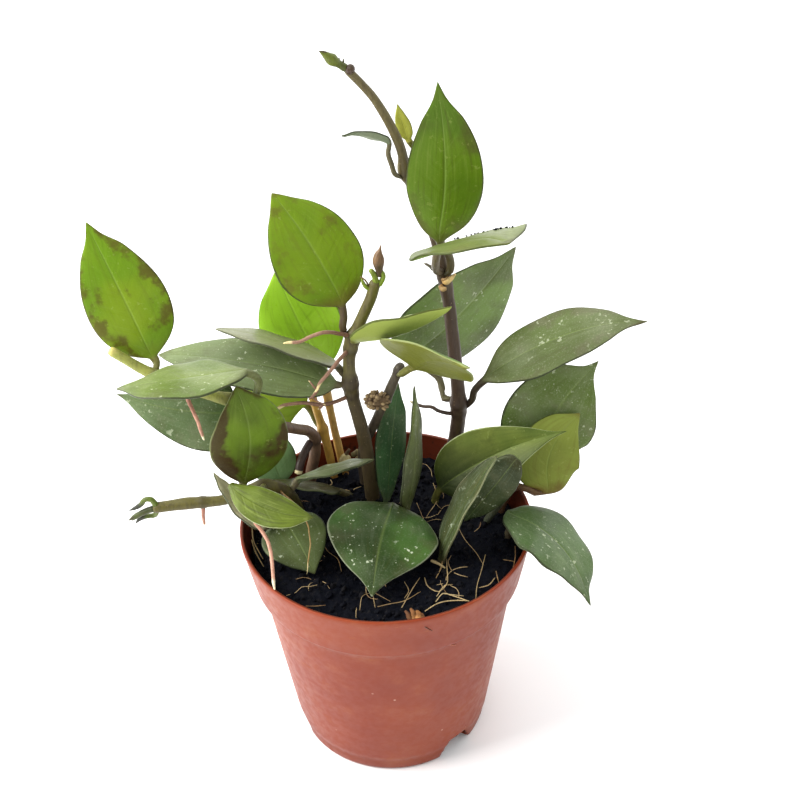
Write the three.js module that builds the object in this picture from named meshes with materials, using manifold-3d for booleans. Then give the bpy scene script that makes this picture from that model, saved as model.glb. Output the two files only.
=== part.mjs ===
// Potted hoya: a young vine with thick leaves, rooted in dark soil in a tapered plastic nursery pot.
// Millimetres, +Z up. The origin is the middle of the pot's underside, and -Y is the front.

import * as THREE from 'three';
import { mergeVertices } from 'three/addons/utils/BufferGeometryUtils.js';
import Module from 'manifold-3d';

const wasm = await Module();
wasm.setup();

// ---- Driving dimensions ----------------------------------------------------------------------

const GAP = 0.3; // clearance between pieces that meet
const SOCKET_GAP = 0.45; // clearance round a stem in the soil
const POT_HEIGHT = 94;
const POT_RIM_RADIUS = 52.5;
const POT_BASE_RADIUS = 37;
const POT_WALL = 1.3;
const COLLAR_HEIGHT = 19; // the straight band below the rim
const COLLAR_RADIUS = 49.5; // outer radius at the band's lower edge
const BODY_TOP_RADIUS = 46.8; // outer radius just under the band
const COLLAR_STEP = 2; // height of the step between band and body
const DRAIN_ANGLES = [-160, -49.5, 75]; // degrees round from the right-hand side
const DRAIN_WIDTH = 15; // at the foot; half of it at the top
const DRAIN_HEIGHT = 9;
const DRAIN_DEPTH = 7; // how far each notch runs in through the wall and the floor's edge
const SOIL_TOP = 85;
const SOIL_MOUND = 1.2; // the soil's rise and fall
const LEAF_HALF_THICKNESS = 0.75;
const STALK_RADIUS = 1.35; // a leaf's stalk
const STALK_ROW = 4; // distance between a stalk's rows
const ROOT_RADIUS = 0.75;
const NODE_SWELL = 0.5; // how far a stem thickens at a node
const NODE_REACH = 3; // half the length of that thickening
const STEM_STEP = 6; // spacing of a stem's rows
const STEM_SIDES = 8;
const LEAF_SIDES = 8;
const ROOT_SIDES = 6;

const BLADE_ROWS = [0.03, 0.1, 0.22, 0.37, 0.53, 0.68, 0.8, 0.89, 0.95]; // shares of a blade's length
const BELLY = 0.38; // where a blade is widest, as a share of its length
const BLADE_POWER = 0.62; // how quickly a blade widens from its base; smaller is rounder

// ---- Materials -------------------------------------------------------------------------------

const finish = (color, roughness) => new THREE.MeshStandardMaterial({ color, roughness, metalness: 0 });

const MATERIALS = {
  pot: () => finish(0xc0624a, 0.55),
  soil: () => finish(0x1d1916, 0.95),
  stem_dark: () => finish(0x4a3330, 0.5),
  stem_green: () => finish(0x6b6a3c, 0.5),
  root: () => finish(0xa9786a, 0.7),
  dried: () => finish(0xb99a6b, 0.85),
  leaf_young: () => finish(0x6f9424, 0.35),
  leaf_grown: () => finish(0x4d6b40, 0.35),
  leaf_dark: () => finish(0x2f4a35, 0.35),
};

// ---- Geometry helpers ------------------------------------------------------------------------

const vec = (p) => new THREE.Vector3(...p);

/** Keeps only positions and joins the vertices that meet. */
function weld(geometry) {
  geometry.deleteAttribute('normal');
  geometry.deleteAttribute('uv');
  return mergeVertices(geometry, 1e-4);
}

/** A closed geometry as a solid. */
function toSolid(geometry) {
  const { index, attributes } = weld(geometry.clone());
  return new wasm.Manifold(new wasm.Mesh({
    numProp: 3,
    vertProperties: new Float32Array(attributes.position.array),
    triVerts: new Uint32Array(index.array),
  }));
}

/** A solid as a geometry. */
function toGeometry(solid) {
  const mesh = solid.getMesh();
  const geometry = new THREE.BufferGeometry();
  geometry.setAttribute('position', new THREE.BufferAttribute(mesh.vertProperties, 3));
  geometry.setIndex(new THREE.BufferAttribute(mesh.triVerts, 1));
  return geometry;
}

/**
 * A closed body laid along a curve. A sphere's rows become the rows of the body, and its poles the
 * ends. Each row has u, its place on the curve, and half its width and thickness; fold lifts the
 * row's two sides towards up, as a slope.
 */
function sweep(curve, rows, sides, up = new THREE.Vector3(0.1, 0.2, 1)) {
  const geometry = new THREE.SphereGeometry(1, sides, rows.length - 1);
  const position = geometry.attributes.position;
  const across = new THREE.Vector3();
  const out = new THREE.Vector3();
  for (let i = 0; i < position.count; i += 1) {
    const row = rows[Math.floor(i / (sides + 1))];
    const angle = (2 * Math.PI * (i % (sides + 1) % sides)) / sides;
    const along = curve.getTangentAt(row.u);
    across.crossVectors(along, up).normalize();
    out.crossVectors(across, along).normalize();
    const side = Math.cos(angle) * row.width;
    const lift = Math.sin(angle) * row.thick + Math.abs(side) * (row.fold ?? 0);
    const point = curve.getPointAt(row.u).addScaledVector(across, side).addScaledVector(out, lift);
    point.addScaledVector(along, -(row.back ?? 0));
    position.setXYZ(i, point.x, point.y, point.z);
  }
  return weld(geometry);
}

/** A stem's radius along its run, from 0 to 1, with a swelling at each node. */
function stemRadius(curve, { from, to, nodes, swell = NODE_SWELL }) {
  const length = curve.getLength();
  const places = nodes.map((p) => nearest(curve, vec(p)) * length);
  return (u) => places.reduce(
    (sum, place) => sum + swell * Math.exp(-(((u * length - place) / NODE_REACH) ** 2)),
    THREE.MathUtils.lerp(from, to, u),
  );
}

/** Rows of a round stem with blunt ends. extra widens it and sets its lower end further back. */
function stemRows(curve, stem, extra = 0) {
  const count = Math.max(4, Math.round(curve.getLength() / STEM_STEP));
  const radius = stemRadius(curve, stem);
  const round = (u, share) => {
    const half = (radius(u) + extra) * share;
    return { u, width: half, thick: half, back: u ? 0 : extra };
  };
  const body = Array.from({ length: count + 1 }, (_, i) => round(i / count, i % count ? 1 : 0.8));
  return [round(0, 0), ...body, round(1, 0)];
}

/** The place on a curve, from 0 to 1, that is nearest to a point. */
function nearest(curve, point, steps = 160) {
  let best = 0;
  for (let i = 1; i <= steps; i += 1) {
    const closer = curve.getPointAt(i / steps).distanceTo(point) < curve.getPointAt(best).distanceTo(point);
    if (closer) best = i / steps;
  }
  return best;
}

const smooth = (points) => new THREE.CatmullRomCurve3(points.map((p) => (p.isVector3 ? p : vec(p))));

// ---- Pot and soil ----------------------------------------------------------------------------

const profile = (points) => new THREE.LatheGeometry(points.map(([r, z]) => new THREE.Vector2(r, z)), 48);

/** Lathes turn about Y; the pot stands along Z. */
const upright = (geometry) => geometry.rotateX(Math.PI / 2);

function potSolid() {
  const step = POT_HEIGHT - COLLAR_HEIGHT;
  const shell = toSolid(upright(profile([
    [0, 0],
    [POT_BASE_RADIUS - 0.8, 0],
    [POT_BASE_RADIUS, 0.8],
    [BODY_TOP_RADIUS, step - COLLAR_STEP],
    [COLLAR_RADIUS - 0.4, step - 0.4],
    [COLLAR_RADIUS, step + 0.6],
    [POT_RIM_RADIUS, POT_HEIGHT - 0.8],
    [POT_RIM_RADIUS - 0.4, POT_HEIGHT],
    [POT_RIM_RADIUS - POT_WALL - 0.3, POT_HEIGHT],
    [POT_RIM_RADIUS - POT_WALL - 0.6, POT_HEIGHT - 1.4],
    [COLLAR_RADIUS - POT_WALL, step + 1.2],
    [BODY_TOP_RADIUS - POT_WALL, step - COLLAR_STEP - 0.6],
    [POT_BASE_RADIUS - POT_WALL + 0.2, POT_WALL + 0.8],
    [POT_BASE_RADIUS - POT_WALL - 1, POT_WALL],
    [0, POT_WALL],
  ])));
  const half = DRAIN_WIDTH / 2;
  const corners = [[-half, -1], [half, -1], [half / 2, DRAIN_HEIGHT], [-half / 2, DRAIN_HEIGHT]];
  const arch = new THREE.Shape(corners.map(([x, y]) => new THREE.Vector2(x, y)));
  const notch = new THREE.ExtrudeGeometry(arch, { depth: DRAIN_DEPTH, bevelEnabled: false });
  notch.rotateX(Math.PI / 2).rotateZ(Math.PI / 2).translate(POT_BASE_RADIUS - DRAIN_DEPTH + 3, 0, 0);
  return DRAIN_ANGLES.reduce(
    (pot, angle) => pot.subtract(toSolid(notch.clone().rotateZ(THREE.MathUtils.degToRad(angle)))),
    shell,
  );
}

/** The soil fills the pot with a small clearance, and its top is gently uneven. */
function soilSolid() {
  const step = POT_HEIGHT - COLLAR_HEIGHT;
  const inset = POT_WALL + GAP + 0.2;
  const top = [46, 38, 29, 19, 9].map((r) => [r, SOIL_TOP]);
  const edge = THREE.MathUtils.mapLinear(SOIL_TOP, step, POT_HEIGHT, COLLAR_RADIUS, POT_RIM_RADIUS);
  const geometry = upright(new THREE.LatheGeometry([
    [0, POT_WALL + GAP],
    [POT_BASE_RADIUS - inset - 1.2, POT_WALL + GAP],
    [BODY_TOP_RADIUS - inset - 0.1, step - COLLAR_STEP - 0.6],
    [COLLAR_RADIUS - inset - 0.4, step + 1.6],
    [edge - inset - 0.3, SOIL_TOP],
    ...top,
    [0, SOIL_TOP],
  ].map(([r, z]) => new THREE.Vector2(r, z)), 32));
  const position = geometry.attributes.position;
  for (let i = 0; i < position.count; i += 1) {
    const [x, y, z] = [position.getX(i), position.getY(i), position.getZ(i)];
    const wave = Math.sin(x / 9 + 1) * Math.cos(y / 8) + 0.5 * Math.sin((x + y) / 5);
    if (z > SOIL_TOP - 1) position.setZ(i, z + SOIL_MOUND * wave);
  }
  return toSolid(geometry);
}

// ---- Stems -----------------------------------------------------------------------------------
// Each runs through its points. from and to are its radius at its two ends.

const STEMS = {
  stem_tall: {
    points: [
      [20, 34, 62], [23, 34, 85], [27, 32, 105], [28, 31, 121], [26.8, 29, 138], [25.5, 27.5, 152],
      [23.8, 25, 169.5], [22.5, 24, 178], [20.3, 23.5, 190.5], [15.5, 21.5, 206], [10, 18, 220],
      [8.9, 14.5, 228.5], [5.8, 11, 238], [0.7, 8, 248.5], [-6.3, 6, 257.5],
    ],
    from: 3.2, to: 1.2, swell: 0.6, nodes: [[28, 31, 121], [22.5, 24, 178], [10, 18, 220]], skin: 'stem_dark',
  },
  stem_centre: {
    points: [
      [-3, 23, 60], [-5, 22, 84], [-7, 21, 113], [-11, 20, 139], [-10, 20, 155], [-4.7, 20, 168.5],
      [-2.4, 20, 174], [-0.7, 20, 180],
    ],
    from: 3, to: 1.9, nodes: [[-11, 20, 139], [-9, 20, 158]], swell: 0.6, skin: 'stem_green',
  },
  stem_spur: {
    points: [[-5, 30, 62], [-8, 31, 85], [-8, 29.5, 103], [-4, 25, 116], [1, 20, 131.5], [7, 16, 149]],
    from: 2.1, to: 1.6, nodes: [[2, 19.5, 134.5], [7, 16, 149]], skin: 'stem_dark',
  },
  shoot_back_left: {
    points: [[-18, 36, 62], [-20, 35, 85], [-22, 33, 105], [-26, 33, 126]],
    from: 1.7, to: 1.5, nodes: [[-22, 33, 108]], skin: 'dried',
  },
  shoot_back_right: {
    points: [[-13, 38, 62], [-16, 37, 86], [-19, 36, 110], [-21, 36, 128]],
    from: 1.7, to: 1.4, nodes: [[-21, 36, 124]], skin: 'dried',
  },
  stem_trailing: {
    points: [
      [-26, 28, 62], [-29, 33, 86], [-26, 31, 102], [-26.5, 28, 112], [-32, 21, 119.5], [-37, 12, 128],
      [-45, 5, 142], [-53, 2, 147], [-65, 4, 150], [-78, 9, 153.5], [-84, 8.5, 158.5], [-90, 9, 163],
    ],
    from: 2.3, to: 1.6, nodes: [[-52, 2, 146], [-78, 9, 153.5], [-90, 9, 163]], skin: 'stem_dark',
  },
  stem_runner: {
    points: [
      [-28, 12, 66], [-31, 10, 86], [-35, 6, 102], [-43, 2, 109], [-55, 0, 105], [-72, -1, 104],
      [-82, -2, 103.4],
    ],
    from: 2, to: 1.9, nodes: [[-43, 2, 109], [-72, -1, 104], [-82, -2, 103.4]], skin: 'stem_green',
  },
};

// ---- Leaves ----------------------------------------------------------------------------------
// on names the stem that carries the leaf, at the point of it nearest to the stalk's first point; a
// leaf with no stem grows out of the soil. base and tip are the ends of the blade, face is where its
// upper side looks, arch is the rise of its middle, bend its sideways bow, belly the place where it is
// widest, power how quickly its base widens and fold the slope of its two halves.

const LEAVES = {
  leaf_tall_upright: {
    on: 'stem_tall', stalk: [[25, 22, 182], [24, 18, 189]],
    base: [20.5, 14, 197.5], tip: [20, 13, 250.5], face: [-0.1, -0.98, 0.1], width: 24.5, belly: 0.4,
    power: 0.75, arch: 1, bend: 2, skin: 'leaf_young',
  },
  leaf_tall_forward: {
    on: 'stem_tall', stalk: [[20, 22, 182], [19.5, 17.5, 185], [19, 12, 190.5]],
    base: [20, 6, 199], tip: [37.5, -33, 222], face: [-0.25, 0.44, 0.86], width: 37, belly: 0.5,
    power: 1, arch: 1, bend: 1, skin: 'leaf_young',
  },
  leaf_tall_back: {
    on: 'stem_tall', stalk: [[27, 31, 121], [22.5, 36, 121], [21.5, 41, 125.5], [15, 45, 129]],
    base: [8.5, 45, 131], tip: [49.5, 52, 174.5], face: [0.39, -0.91, -0.16], width: 42, belly: 0.37,
    power: 0.55, arch: 2, bend: 1,
  },
  leaf_tall_right: {
    on: 'stem_tall', stalk: [[29, 30, 121], [33, 29, 127]],
    base: [37, 26, 135], tip: [91.5, 20, 162.5], face: [-0.45, -0.3, 0.85], width: 25.5, belly: 0.41,
    power: 0.8, arch: 3, bend: -3.5,
  },
  leaf_right_back: {
    stalk: [[36, 19, 68], [41, 18, 87], [45, 17, 98]],
    base: [53.5, 19, 98], tip: [79, 34, 136.5], face: [0.1, -0.9, 0.3], width: 36.5, belly: 0.43,
    power: 0.9, arch: 2, bend: -4.5,
  },
  leaf_right_old: {
    stalk: [[38, 10, 66], [43, 12, 87], [48, 10, 98.5]],
    base: [58.5, 8, 96], tip: [71.7, 24, 120.5], face: [0, -0.9, 0.4], width: 24, belly: 0.4,
    power: 0.65, arch: 2, bend: -5, skin: 'leaf_young',
  },
  leaf_right_wide: {
    stalk: [[17, 22, 66], [18, 19, 83]],
    base: [20.5, 16, 93.5], tip: [65, 10, 123], face: [-0.15, -0.75, 0.65], width: 25, belly: 0.3,
    arch: 2, bend: -3, fold: 0.25, skin: 'leaf_young',
  },
  leaf_right_hanging: {
    stalk: [[31, 10, 66], [37, 6, 86], [39, 1.5, 94], [44, 0, 106]],
    base: [47, -1, 121], tip: [28, -4, 94.5], face: [-0.2, -0.9, 0.4], width: 13.5, arch: 2,
    skin: 'leaf_dark',
  },
  leaf_right_drooping: {
    stalk: [[39, -3, 66], [44, -2, 86], [45.5, -3.5, 96]],
    base: [41.7, -5.5, 99.5], tip: [69.7, -34, 80.7], face: [0.5, 0.02, 0.85], width: 36, power: 0.75,
    arch: 6, bend: -3,
  },
  leaf_front_folded: {
    stalk: [[18.5, -14, 70], [19.5, -14.5, 79]],
    base: [19.3, -15.5, 87.2], tip: [38.5, -10, 128.5], face: [-0.93, -0.21, 0.3], width: 12.5,
    belly: 0.44, power: 0.5, arch: 1, bend: -1.2, fold: 0.4,
  },
  leaf_front_wide: {
    stalk: [[2, 7, 68], [1, 8, 84]],
    base: [2.5, 5, 95.3], tip: [-5, -38, 92.5], face: [0.15, -0.05, 1], width: 40.5, belly: 0.38,
    power: 0.8, arch: 3, bend: 1.2, skin: 'leaf_dark',
  },
  leaf_middle_dark: {
    stalk: [[1, 17, 66], [0, 17, 76]],
    base: [0, 18, 84], tip: [6, 35, 128.8], face: [0.52, -0.79, 0.32], width: 13.5, belly: 0.52,
    power: 1, arch: 1, bend: -1.4, skin: 'leaf_dark',
  },
  leaf_middle_narrow: {
    stalk: [[9, 8, 70], [8, 8, 82]],
    base: [7.5, 8, 91], tip: [11.5, 15, 141], face: [-0.86, 0.52, 0.04], width: 14.5, belly: 0.25,
    power: 0.5, arch: 1, bend: -5, fold: 0,
  },
  leaf_left_small: {
    on: 'stem_runner', stalk: [[-35, 6, 102]],
    base: [-31.5, 8, 106], tip: [-3.5, 10, 113], face: [-0.2, 0.35, 0.9], width: 13.5, belly: 0.5,
    power: 1, arch: 1, bend: 1.5,
  },
  leaf_left_brown: {
    stalk: [[-11, 26, 68], [-12, 25, 82]],
    base: [-18, 23, 88], tip: [-43, 11, 103], face: [0.3, 0.4, 0.85], width: 13, arch: 1,
    skin: 'leaf_dark',
  },
  leaf_left_hidden: {
    stalk: [[-32, 26, 66], [-37, 26, 82]],
    base: [-39, 23, 93], tip: [-46, 24, 122], face: [0.3, -0.9, 0.2], width: 18, arch: 1,
    skin: 'leaf_dark',
  },
  leaf_left_drooping: {
    stalk: [[-36, 9, 66], [-39, 6, 86], [-39, 2, 95]],
    base: [-37, -2, 97], tip: [-25, -23, 89], face: [0.1, -0.5, 0.85], width: 24, arch: 3,
    skin: 'leaf_dark',
  },
  leaf_runner_mottled: {
    on: 'stem_runner', stalk: [[-51, 1, 107], [-50.5, -2, 110.5]],
    base: [-49, -3, 115], tip: [-47.7, -2, 154.5], face: [0.35, -0.93, 0.13], width: 28, belly: 0.43,
    power: 0.68, arch: 2, bend: 2.8, skin: 'leaf_young',
  },
  leaf_runner_front: {
    on: 'stem_runner', stalk: [[-43, 1, 109], [-45, -7, 113]],
    base: [-51.5, -14, 122], tip: [-23.3, -27, 118], face: [-0.15, -0.55, 0.8], width: 12.5,
    belly: 0.48, power: 0.85, arch: 2, bend: 3, skin: 'leaf_young',
  },
  leaf_runner_grey: {
    on: 'stem_runner', stalk: [[-37, 3, 104], [-40, -5, 99]],
    base: [-43, -10, 100], tip: [-58, -8, 124], face: [0.6, -0.1, 0.5], width: 9, arch: -2,
  },
  leaf_trailing_end: {
    on: 'stem_trailing', stalk: [[-77, 10, 153]],
    base: [-77, 13, 157], tip: [-94, 24, 203], face: [0, -0.85, 0.5], width: 28.5, arch: 2, bend: 0.5,
    skin: 'leaf_young',
  },
  leaf_trailing_top: {
    on: 'stem_trailing', stalk: [[-46, 4, 142], [-42, 3, 148], [-40.5, 0, 155]],
    base: [-43.5, -4, 161], tip: [-86, -7, 158.2], face: [0, 0.12, 1], width: 26.5, belly: 0.43,
    power: 0.8, arch: 2, bend: -3.3, skin: 'leaf_young',
  },
  leaf_trailing_under: {
    on: 'stem_trailing', stalk: [[-52, 4, 145], [-49, 9, 138]],
    base: [-50, 13, 133], tip: [-91.5, 12, 143.2], face: [0, -0.76, 0.65], width: 27.5, belly: 0.24,
    power: 0.4, arch: 2, bend: -2.4,
  },
  leaf_centre_long: {
    on: 'stem_centre', stalk: [[-12, 20, 139]],
    base: [-16, 20, 138.5], tip: [-78.4, 27, 149.2], face: [0.29, -0.2, 0.94], width: 26, belly: 0.41,
    power: 0.52, arch: 3, bend: 0.5, skin: 'leaf_dark',
  },
  leaf_centre_slim: {
    on: 'stem_centre', stalk: [[-12, 21, 142], [-14, 22, 145]],
    base: [-14.5, 22, 145.2], tip: [-56.7, 24, 161], face: [0.25, 0.4, 0.9], width: 35, belly: 0.42,
    power: 0.5, arch: 2, bend: 0.6,
  },
  leaf_centre_upright: {
    on: 'stem_centre', stalk: [[-10, 20, 159], [-12, 20, 165]],
    base: [-12.5, 22, 170], tip: [-34.7, 40, 203.8], face: [0.28, -0.74, 0.62], width: 32, belly: 0.4,
    arch: 2, bend: 1.2, skin: 'leaf_young',
  },
  leaf_centre_forward: {
    on: 'stem_centre', stalk: [[-8, 18, 158], [-8.5, 15.5, 160]],
    base: [-8, 13, 162], tip: [23.5, -2, 182.5], face: [-0.24, 0.56, 0.78], width: 23.5, belly: 0.36,
    arch: -2.8, bend: 0, fold: 0.42, skin: 'leaf_young',
  },
  leaf_spur_forward: {
    on: 'stem_spur', stalk: [[6, 16, 147], [8, 12, 149]],
    base: [12, 9, 153], tip: [28, -24, 173.5], face: [0.38, 0.68, 0.62], width: 35, belly: 0.28,
    arch: 2, bend: 2.5, skin: 'leaf_young',
  },
  leaf_back_bright: {
    on: 'shoot_back_right', stalk: [[-21, 37, 127]],
    base: [-21.5, 41, 132], tip: [-36.5, 46, 171], face: [-0.2, -0.85, 0.5], width: 31.5, belly: 0.46,
    power: 0.8, arch: 2, skin: 'leaf_young',
  },
  leaf_back_small: {
    on: 'shoot_back_left', stalk: [[-23, 33, 110], [-26, 36, 114]],
    base: [-29, 37, 119], tip: [-53, 38, 129], face: [0, -0.85, 0.5], width: 25, arch: 1,
    skin: 'leaf_young',
  },
  leaf_tip_new: {
    on: 'stem_tall', stalk: [[11, 18, 219], [14, 19.5, 222], [13.5, 19, 226]],
    base: [11.3, 18, 230.3], tip: [7.9, 16, 242.8], face: [-0.3, -0.9, 0.3], width: 5, arch: 0.5,
    slim: 0.7, skin: 'leaf_young',
  },
  leaf_tip_small: {
    on: 'stem_tall', stalk: [[9, 17, 219.5], [6.2, 14, 223], [4.8, 13.5, 228]],
    base: [5.2, 13, 232], tip: [-9, 6, 238], face: [-0.3, 0.5, 0.8], width: 5, arch: 1, bend: -1,
    slim: 0.6,
  },
};

/** Where a stalk meets its stem: on the stem's skin, a clearance away, facing the next point. */
function seat(stem, first, next) {
  const curve = smooth(stem.points);
  const u = nearest(curve, vec(first));
  const axis = curve.getPointAt(u);
  const toward = vec(next).sub(axis);
  toward.addScaledVector(curve.getTangentAt(u), -toward.dot(curve.getTangentAt(u))).normalize();
  const reach = stemRadius(curve, stem)(u) + GAP;
  return { start: axis.clone().addScaledVector(toward, reach), toward };
}

/** The run of a leaf's stalk and blade, and how long the stalk is. */
function leafCurve({ on, stalk, base, tip, face, arch, bend = 0 }) {
  const [root, end, up] = [vec(base), vec(tip), vec(face).normalize()];
  const across = end.clone().sub(root).cross(up).normalize();
  const blade = [0.33, 0.67].map((b) => {
    const bow = b * (1 - b);
    const middle = root.clone().lerp(end, b).addScaledVector(up, 3.6 * arch * bow);
    return middle.addScaledVector(across, 4 * bend * bow);
  });
  let points = stalk.map(vec);
  if (on) {
    const { start, toward } = seat(STEMS[on], stalk[0], stalk[1] ?? base);
    points = [start, start.clone().addScaledVector(toward, 1.2), ...stalk.slice(1).map(vec)];
  }
  const curve = smooth([...points, root, ...blade, end]);
  return { curve, join: nearest(curve, root) };
}

/** A blade's half width at a share of its length, as a share of its widest. It ends in a drip tip. */
function bladeShare(b, belly, power) {
  return ((b / belly) * ((1 - b) / (1 - belly)) ** ((1 - belly) / belly)) ** power;
}

function leafRows({ width, belly = BELLY, power = BLADE_POWER, fold = 0, slim = 1 }, { curve, join }, extra) {
  const stalk = STALK_RADIUS * slim + extra;
  const row = (u, half, thick, slope = 0) => ({ u, width: half, thick, fold: slope, back: u ? 0 : extra });
  const count = Math.max(2, Math.round((join * curve.getLength()) / STALK_ROW));
  const petiole = Array.from({ length: count }, (_, i) => row((join * i) / count, stalk, stalk));
  const blade = BLADE_ROWS.map((b) => row(
    join + b * (1 - join),
    (bladeShare(b, belly, power) * width) / 2 + extra,
    LEAF_HALF_THICKNESS * slim * (1.35 - 0.6 * b) + extra,
    fold * Math.min(1, 4 * b),
  ));
  petiole[0].width *= 0.8;
  petiole[0].thick *= 0.8;
  return [row(0, 0, 0), ...petiole, ...blade, row(1, 0, 0)];
}

function leafGeometry(leaf, extra = 0) {
  const run = leafCurve(leaf);
  return sweep(run.curve, leafRows(leaf, run, extra), LEAF_SIDES, vec(leaf.face));
}

// ---- Aerial roots, buds and cut ends ---------------------------------------------------------

const TWIGS = {
  aerial_root_1: {
    on: 'stem_centre', points: [[-10, 19, 160], [-18, 14, 164.5], [-27.5, 11, 163], [-32, 10, 163]],
  },
  aerial_root_2: {
    on: 'stem_centre',
    points: [[-9, 18, 153], [-15, 13, 152.5], [-21, 9, 147], [-23, 8, 143.5], [-25, 7, 142]],
  },
  aerial_root_3: {
    on: 'stem_centre', points: [[-11, 18, 134], [-20, 15, 134], [-28, 12, 137], [-34, 8, 139], [-39, 4, 138]],
  },
  aerial_root_4: {
    on: 'stem_trailing', points: [[-65, 4, 149], [-64, -1, 148], [-61, -5, 140], [-60, -5, 135]],
  },
  aerial_root_5: { on: 'stem_runner', points: [[-65, -1, 103], [-65, -1, 98], [-65, -1, 94]] },
  aerial_root_6: {
    on: 'stem_runner',
    points: [[-50, 0, 105], [-52, -17, 104], [-46, -24, 99], [-44, -31, 92], [-43, -34, 87]],
  },
  aerial_root_7: {
    on: 'stem_runner', points: [[-38, 4, 106], [-34, -4, 106], [-29, -20, 104], [-30, -26, 93]],
    radius: 0.5,
  },
  aerial_root_8: {
    on: 'stem_tall', points: [[26, 29, 118], [17, 26, 124], [14, 25, 125], [10, 24, 128]],
  },
  aerial_root_9: {
    on: 'stem_tall', points: [[20, 22, 182], [17.5, 21, 184.5], [15.6, 20.5, 186.5]], radius: 0.6,
  },
  flower_spur: {
    on: 'stem_spur', points: [[0, 19, 132], [-3, 15, 134], [-5, 13.5, 136]], radius: 3.4, skin: 'dried',
  },
  dried_stub: {
    on: 'stem_tall', points: [[22.3, 22, 178], [22.3, 20, 178.5], [25.8, 19, 182.3]],
    radius: 1, skin: 'dried',
  },
  cut_branch: {
    on: 'stem_trailing', points: [[-27, 29, 108], [-31, 20, 105], [-32, 18, 101]],
    radius: 1.5, skin: 'stem_dark',
  },
  bud_centre: {
    on: 'stem_centre', points: [[-0.5, 20, 181], [0.2, 20, 186], [1.3, 20, 193]],
    radius: 1.5, skin: 'stem_dark', cap: true,
  },
  bud_runner: {
    on: 'stem_runner', points: [[-83, -2, 103], [-87, -2, 101], [-91, -2, 98.5]],
    radius: 1, skin: 'stem_green', cap: true,
  },
  sprout_upper: {
    on: 'stem_runner', points: [[-81, -2, 104], [-83, -2, 107.6], [-86, -2, 105.2], [-90.5, -2, 102.7]],
    skin: 'stem_green',
  },
  sprout_lower: {
    on: 'stem_runner', points: [[-81, -2, 103], [-83, -0.5, 98.4], [-86, -0.5, 98.3], [-89.5, -0.5, 95.7]],
    skin: 'stem_green',
  },
  bud_tall: {
    on: 'stem_tall', points: [[-7, 6, 258], [-10, 4.5, 261], [-13, 3, 263.5]],
    radius: 1.3, skin: 'stem_green', cap: true,
  },
};

/** A short round piece whose thickness swells in its middle and fades at its tip. */
function twigGeometry({ on, points, radius = ROOT_RADIUS, cap = false }) {
  const stem = STEMS[on];
  const stemCurve = smooth(stem.points);
  const end = stemCurve.getPointAt(1);
  const ahead = stemCurve.getTangentAt(1);
  const onEnd = { start: end.addScaledVector(ahead, GAP), toward: ahead };
  const { start, toward } = cap ? onEnd : seat(stem, points[0], points[1]);
  const curve = smooth([start, start.clone().addScaledVector(toward, 1), ...points.slice(1)]);
  const count = Math.max(4, Math.round(curve.getLength() / 3.5));
  const round = (u, share) => ({ u, width: radius * share, thick: radius * share });
  const body = Array.from({ length: count }, (_, i) => round(i / count, i ? 1 : 0.75));
  const rows = [round(0, 0), ...body, round(0.97, 0.6), round(1, 0)];
  return sweep(curve, rows, ROOT_SIDES);
}

// ---- Assembly --------------------------------------------------------------------------------

const plant = new THREE.Group();
plant.name = 'potted_hoya';

function place(name, geometry, skin) {
  const mesh = new THREE.Mesh(geometry, MATERIALS[skin]());
  mesh.name = name;
  plant.add(mesh);
}

const stemGeometry = (stem, extra = 0) => {
  const curve = smooth(stem.points);
  return sweep(curve, stemRows(curve, stem, extra), STEM_SIDES);
};

let soil = soilSolid();
const rooted = [
  ...Object.values(STEMS).map((stem) => stemGeometry(stem, SOCKET_GAP)),
  ...Object.values(LEAVES).filter((leaf) => !leaf.on).map((leaf) => leafGeometry(leaf, SOCKET_GAP)),
];
for (const geometry of rooted) soil = soil.subtract(toSolid(geometry));

place('pot', toGeometry(potSolid()), 'pot');
place('soil', toGeometry(soil), 'soil');
for (const [name, stem] of Object.entries(STEMS)) place(name, stemGeometry(stem), stem.skin);
for (const [name, leaf] of Object.entries(LEAVES)) place(name, leafGeometry(leaf), leaf.skin ?? 'leaf_grown');
for (const [name, twig] of Object.entries(TWIGS)) place(name, twigGeometry(twig), twig.skin ?? 'root');

export default plant;
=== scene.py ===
"""Looks of a potted hoya: a young vine with thick waxy leaves in a plastic nursery pot.

Every length in the dataclasses below is in millimetres unless its note says otherwise; the meshes
are in metres. Stems, leaves and roots follow the rings of their CAD bodies.
"""

import logging
import math
import random
from collections.abc import Callable, Sequence
from dataclasses import dataclass, field, fields, replace
from enum import Enum

import bmesh
import bpy
import numpy as np
from mathutils import Euler, Matrix, Vector, noise


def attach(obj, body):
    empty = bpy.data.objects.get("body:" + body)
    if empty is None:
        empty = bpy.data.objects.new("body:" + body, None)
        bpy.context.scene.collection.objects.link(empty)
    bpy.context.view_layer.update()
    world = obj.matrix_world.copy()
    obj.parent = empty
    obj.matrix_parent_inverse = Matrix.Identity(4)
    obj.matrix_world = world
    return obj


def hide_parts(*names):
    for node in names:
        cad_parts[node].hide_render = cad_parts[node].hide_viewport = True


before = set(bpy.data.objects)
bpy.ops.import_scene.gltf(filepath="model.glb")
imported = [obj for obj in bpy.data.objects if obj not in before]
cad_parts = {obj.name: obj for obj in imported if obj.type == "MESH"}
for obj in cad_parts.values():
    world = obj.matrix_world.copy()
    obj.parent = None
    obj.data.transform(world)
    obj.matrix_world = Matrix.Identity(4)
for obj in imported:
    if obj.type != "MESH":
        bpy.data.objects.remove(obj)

log = logging.getLogger("potted_hoya")

MM = 0.001
BODY = "root"
NOISE_SEED = 7
Colour = tuple[float, float, float]
Socket = bpy.types.NodeSocket


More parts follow.
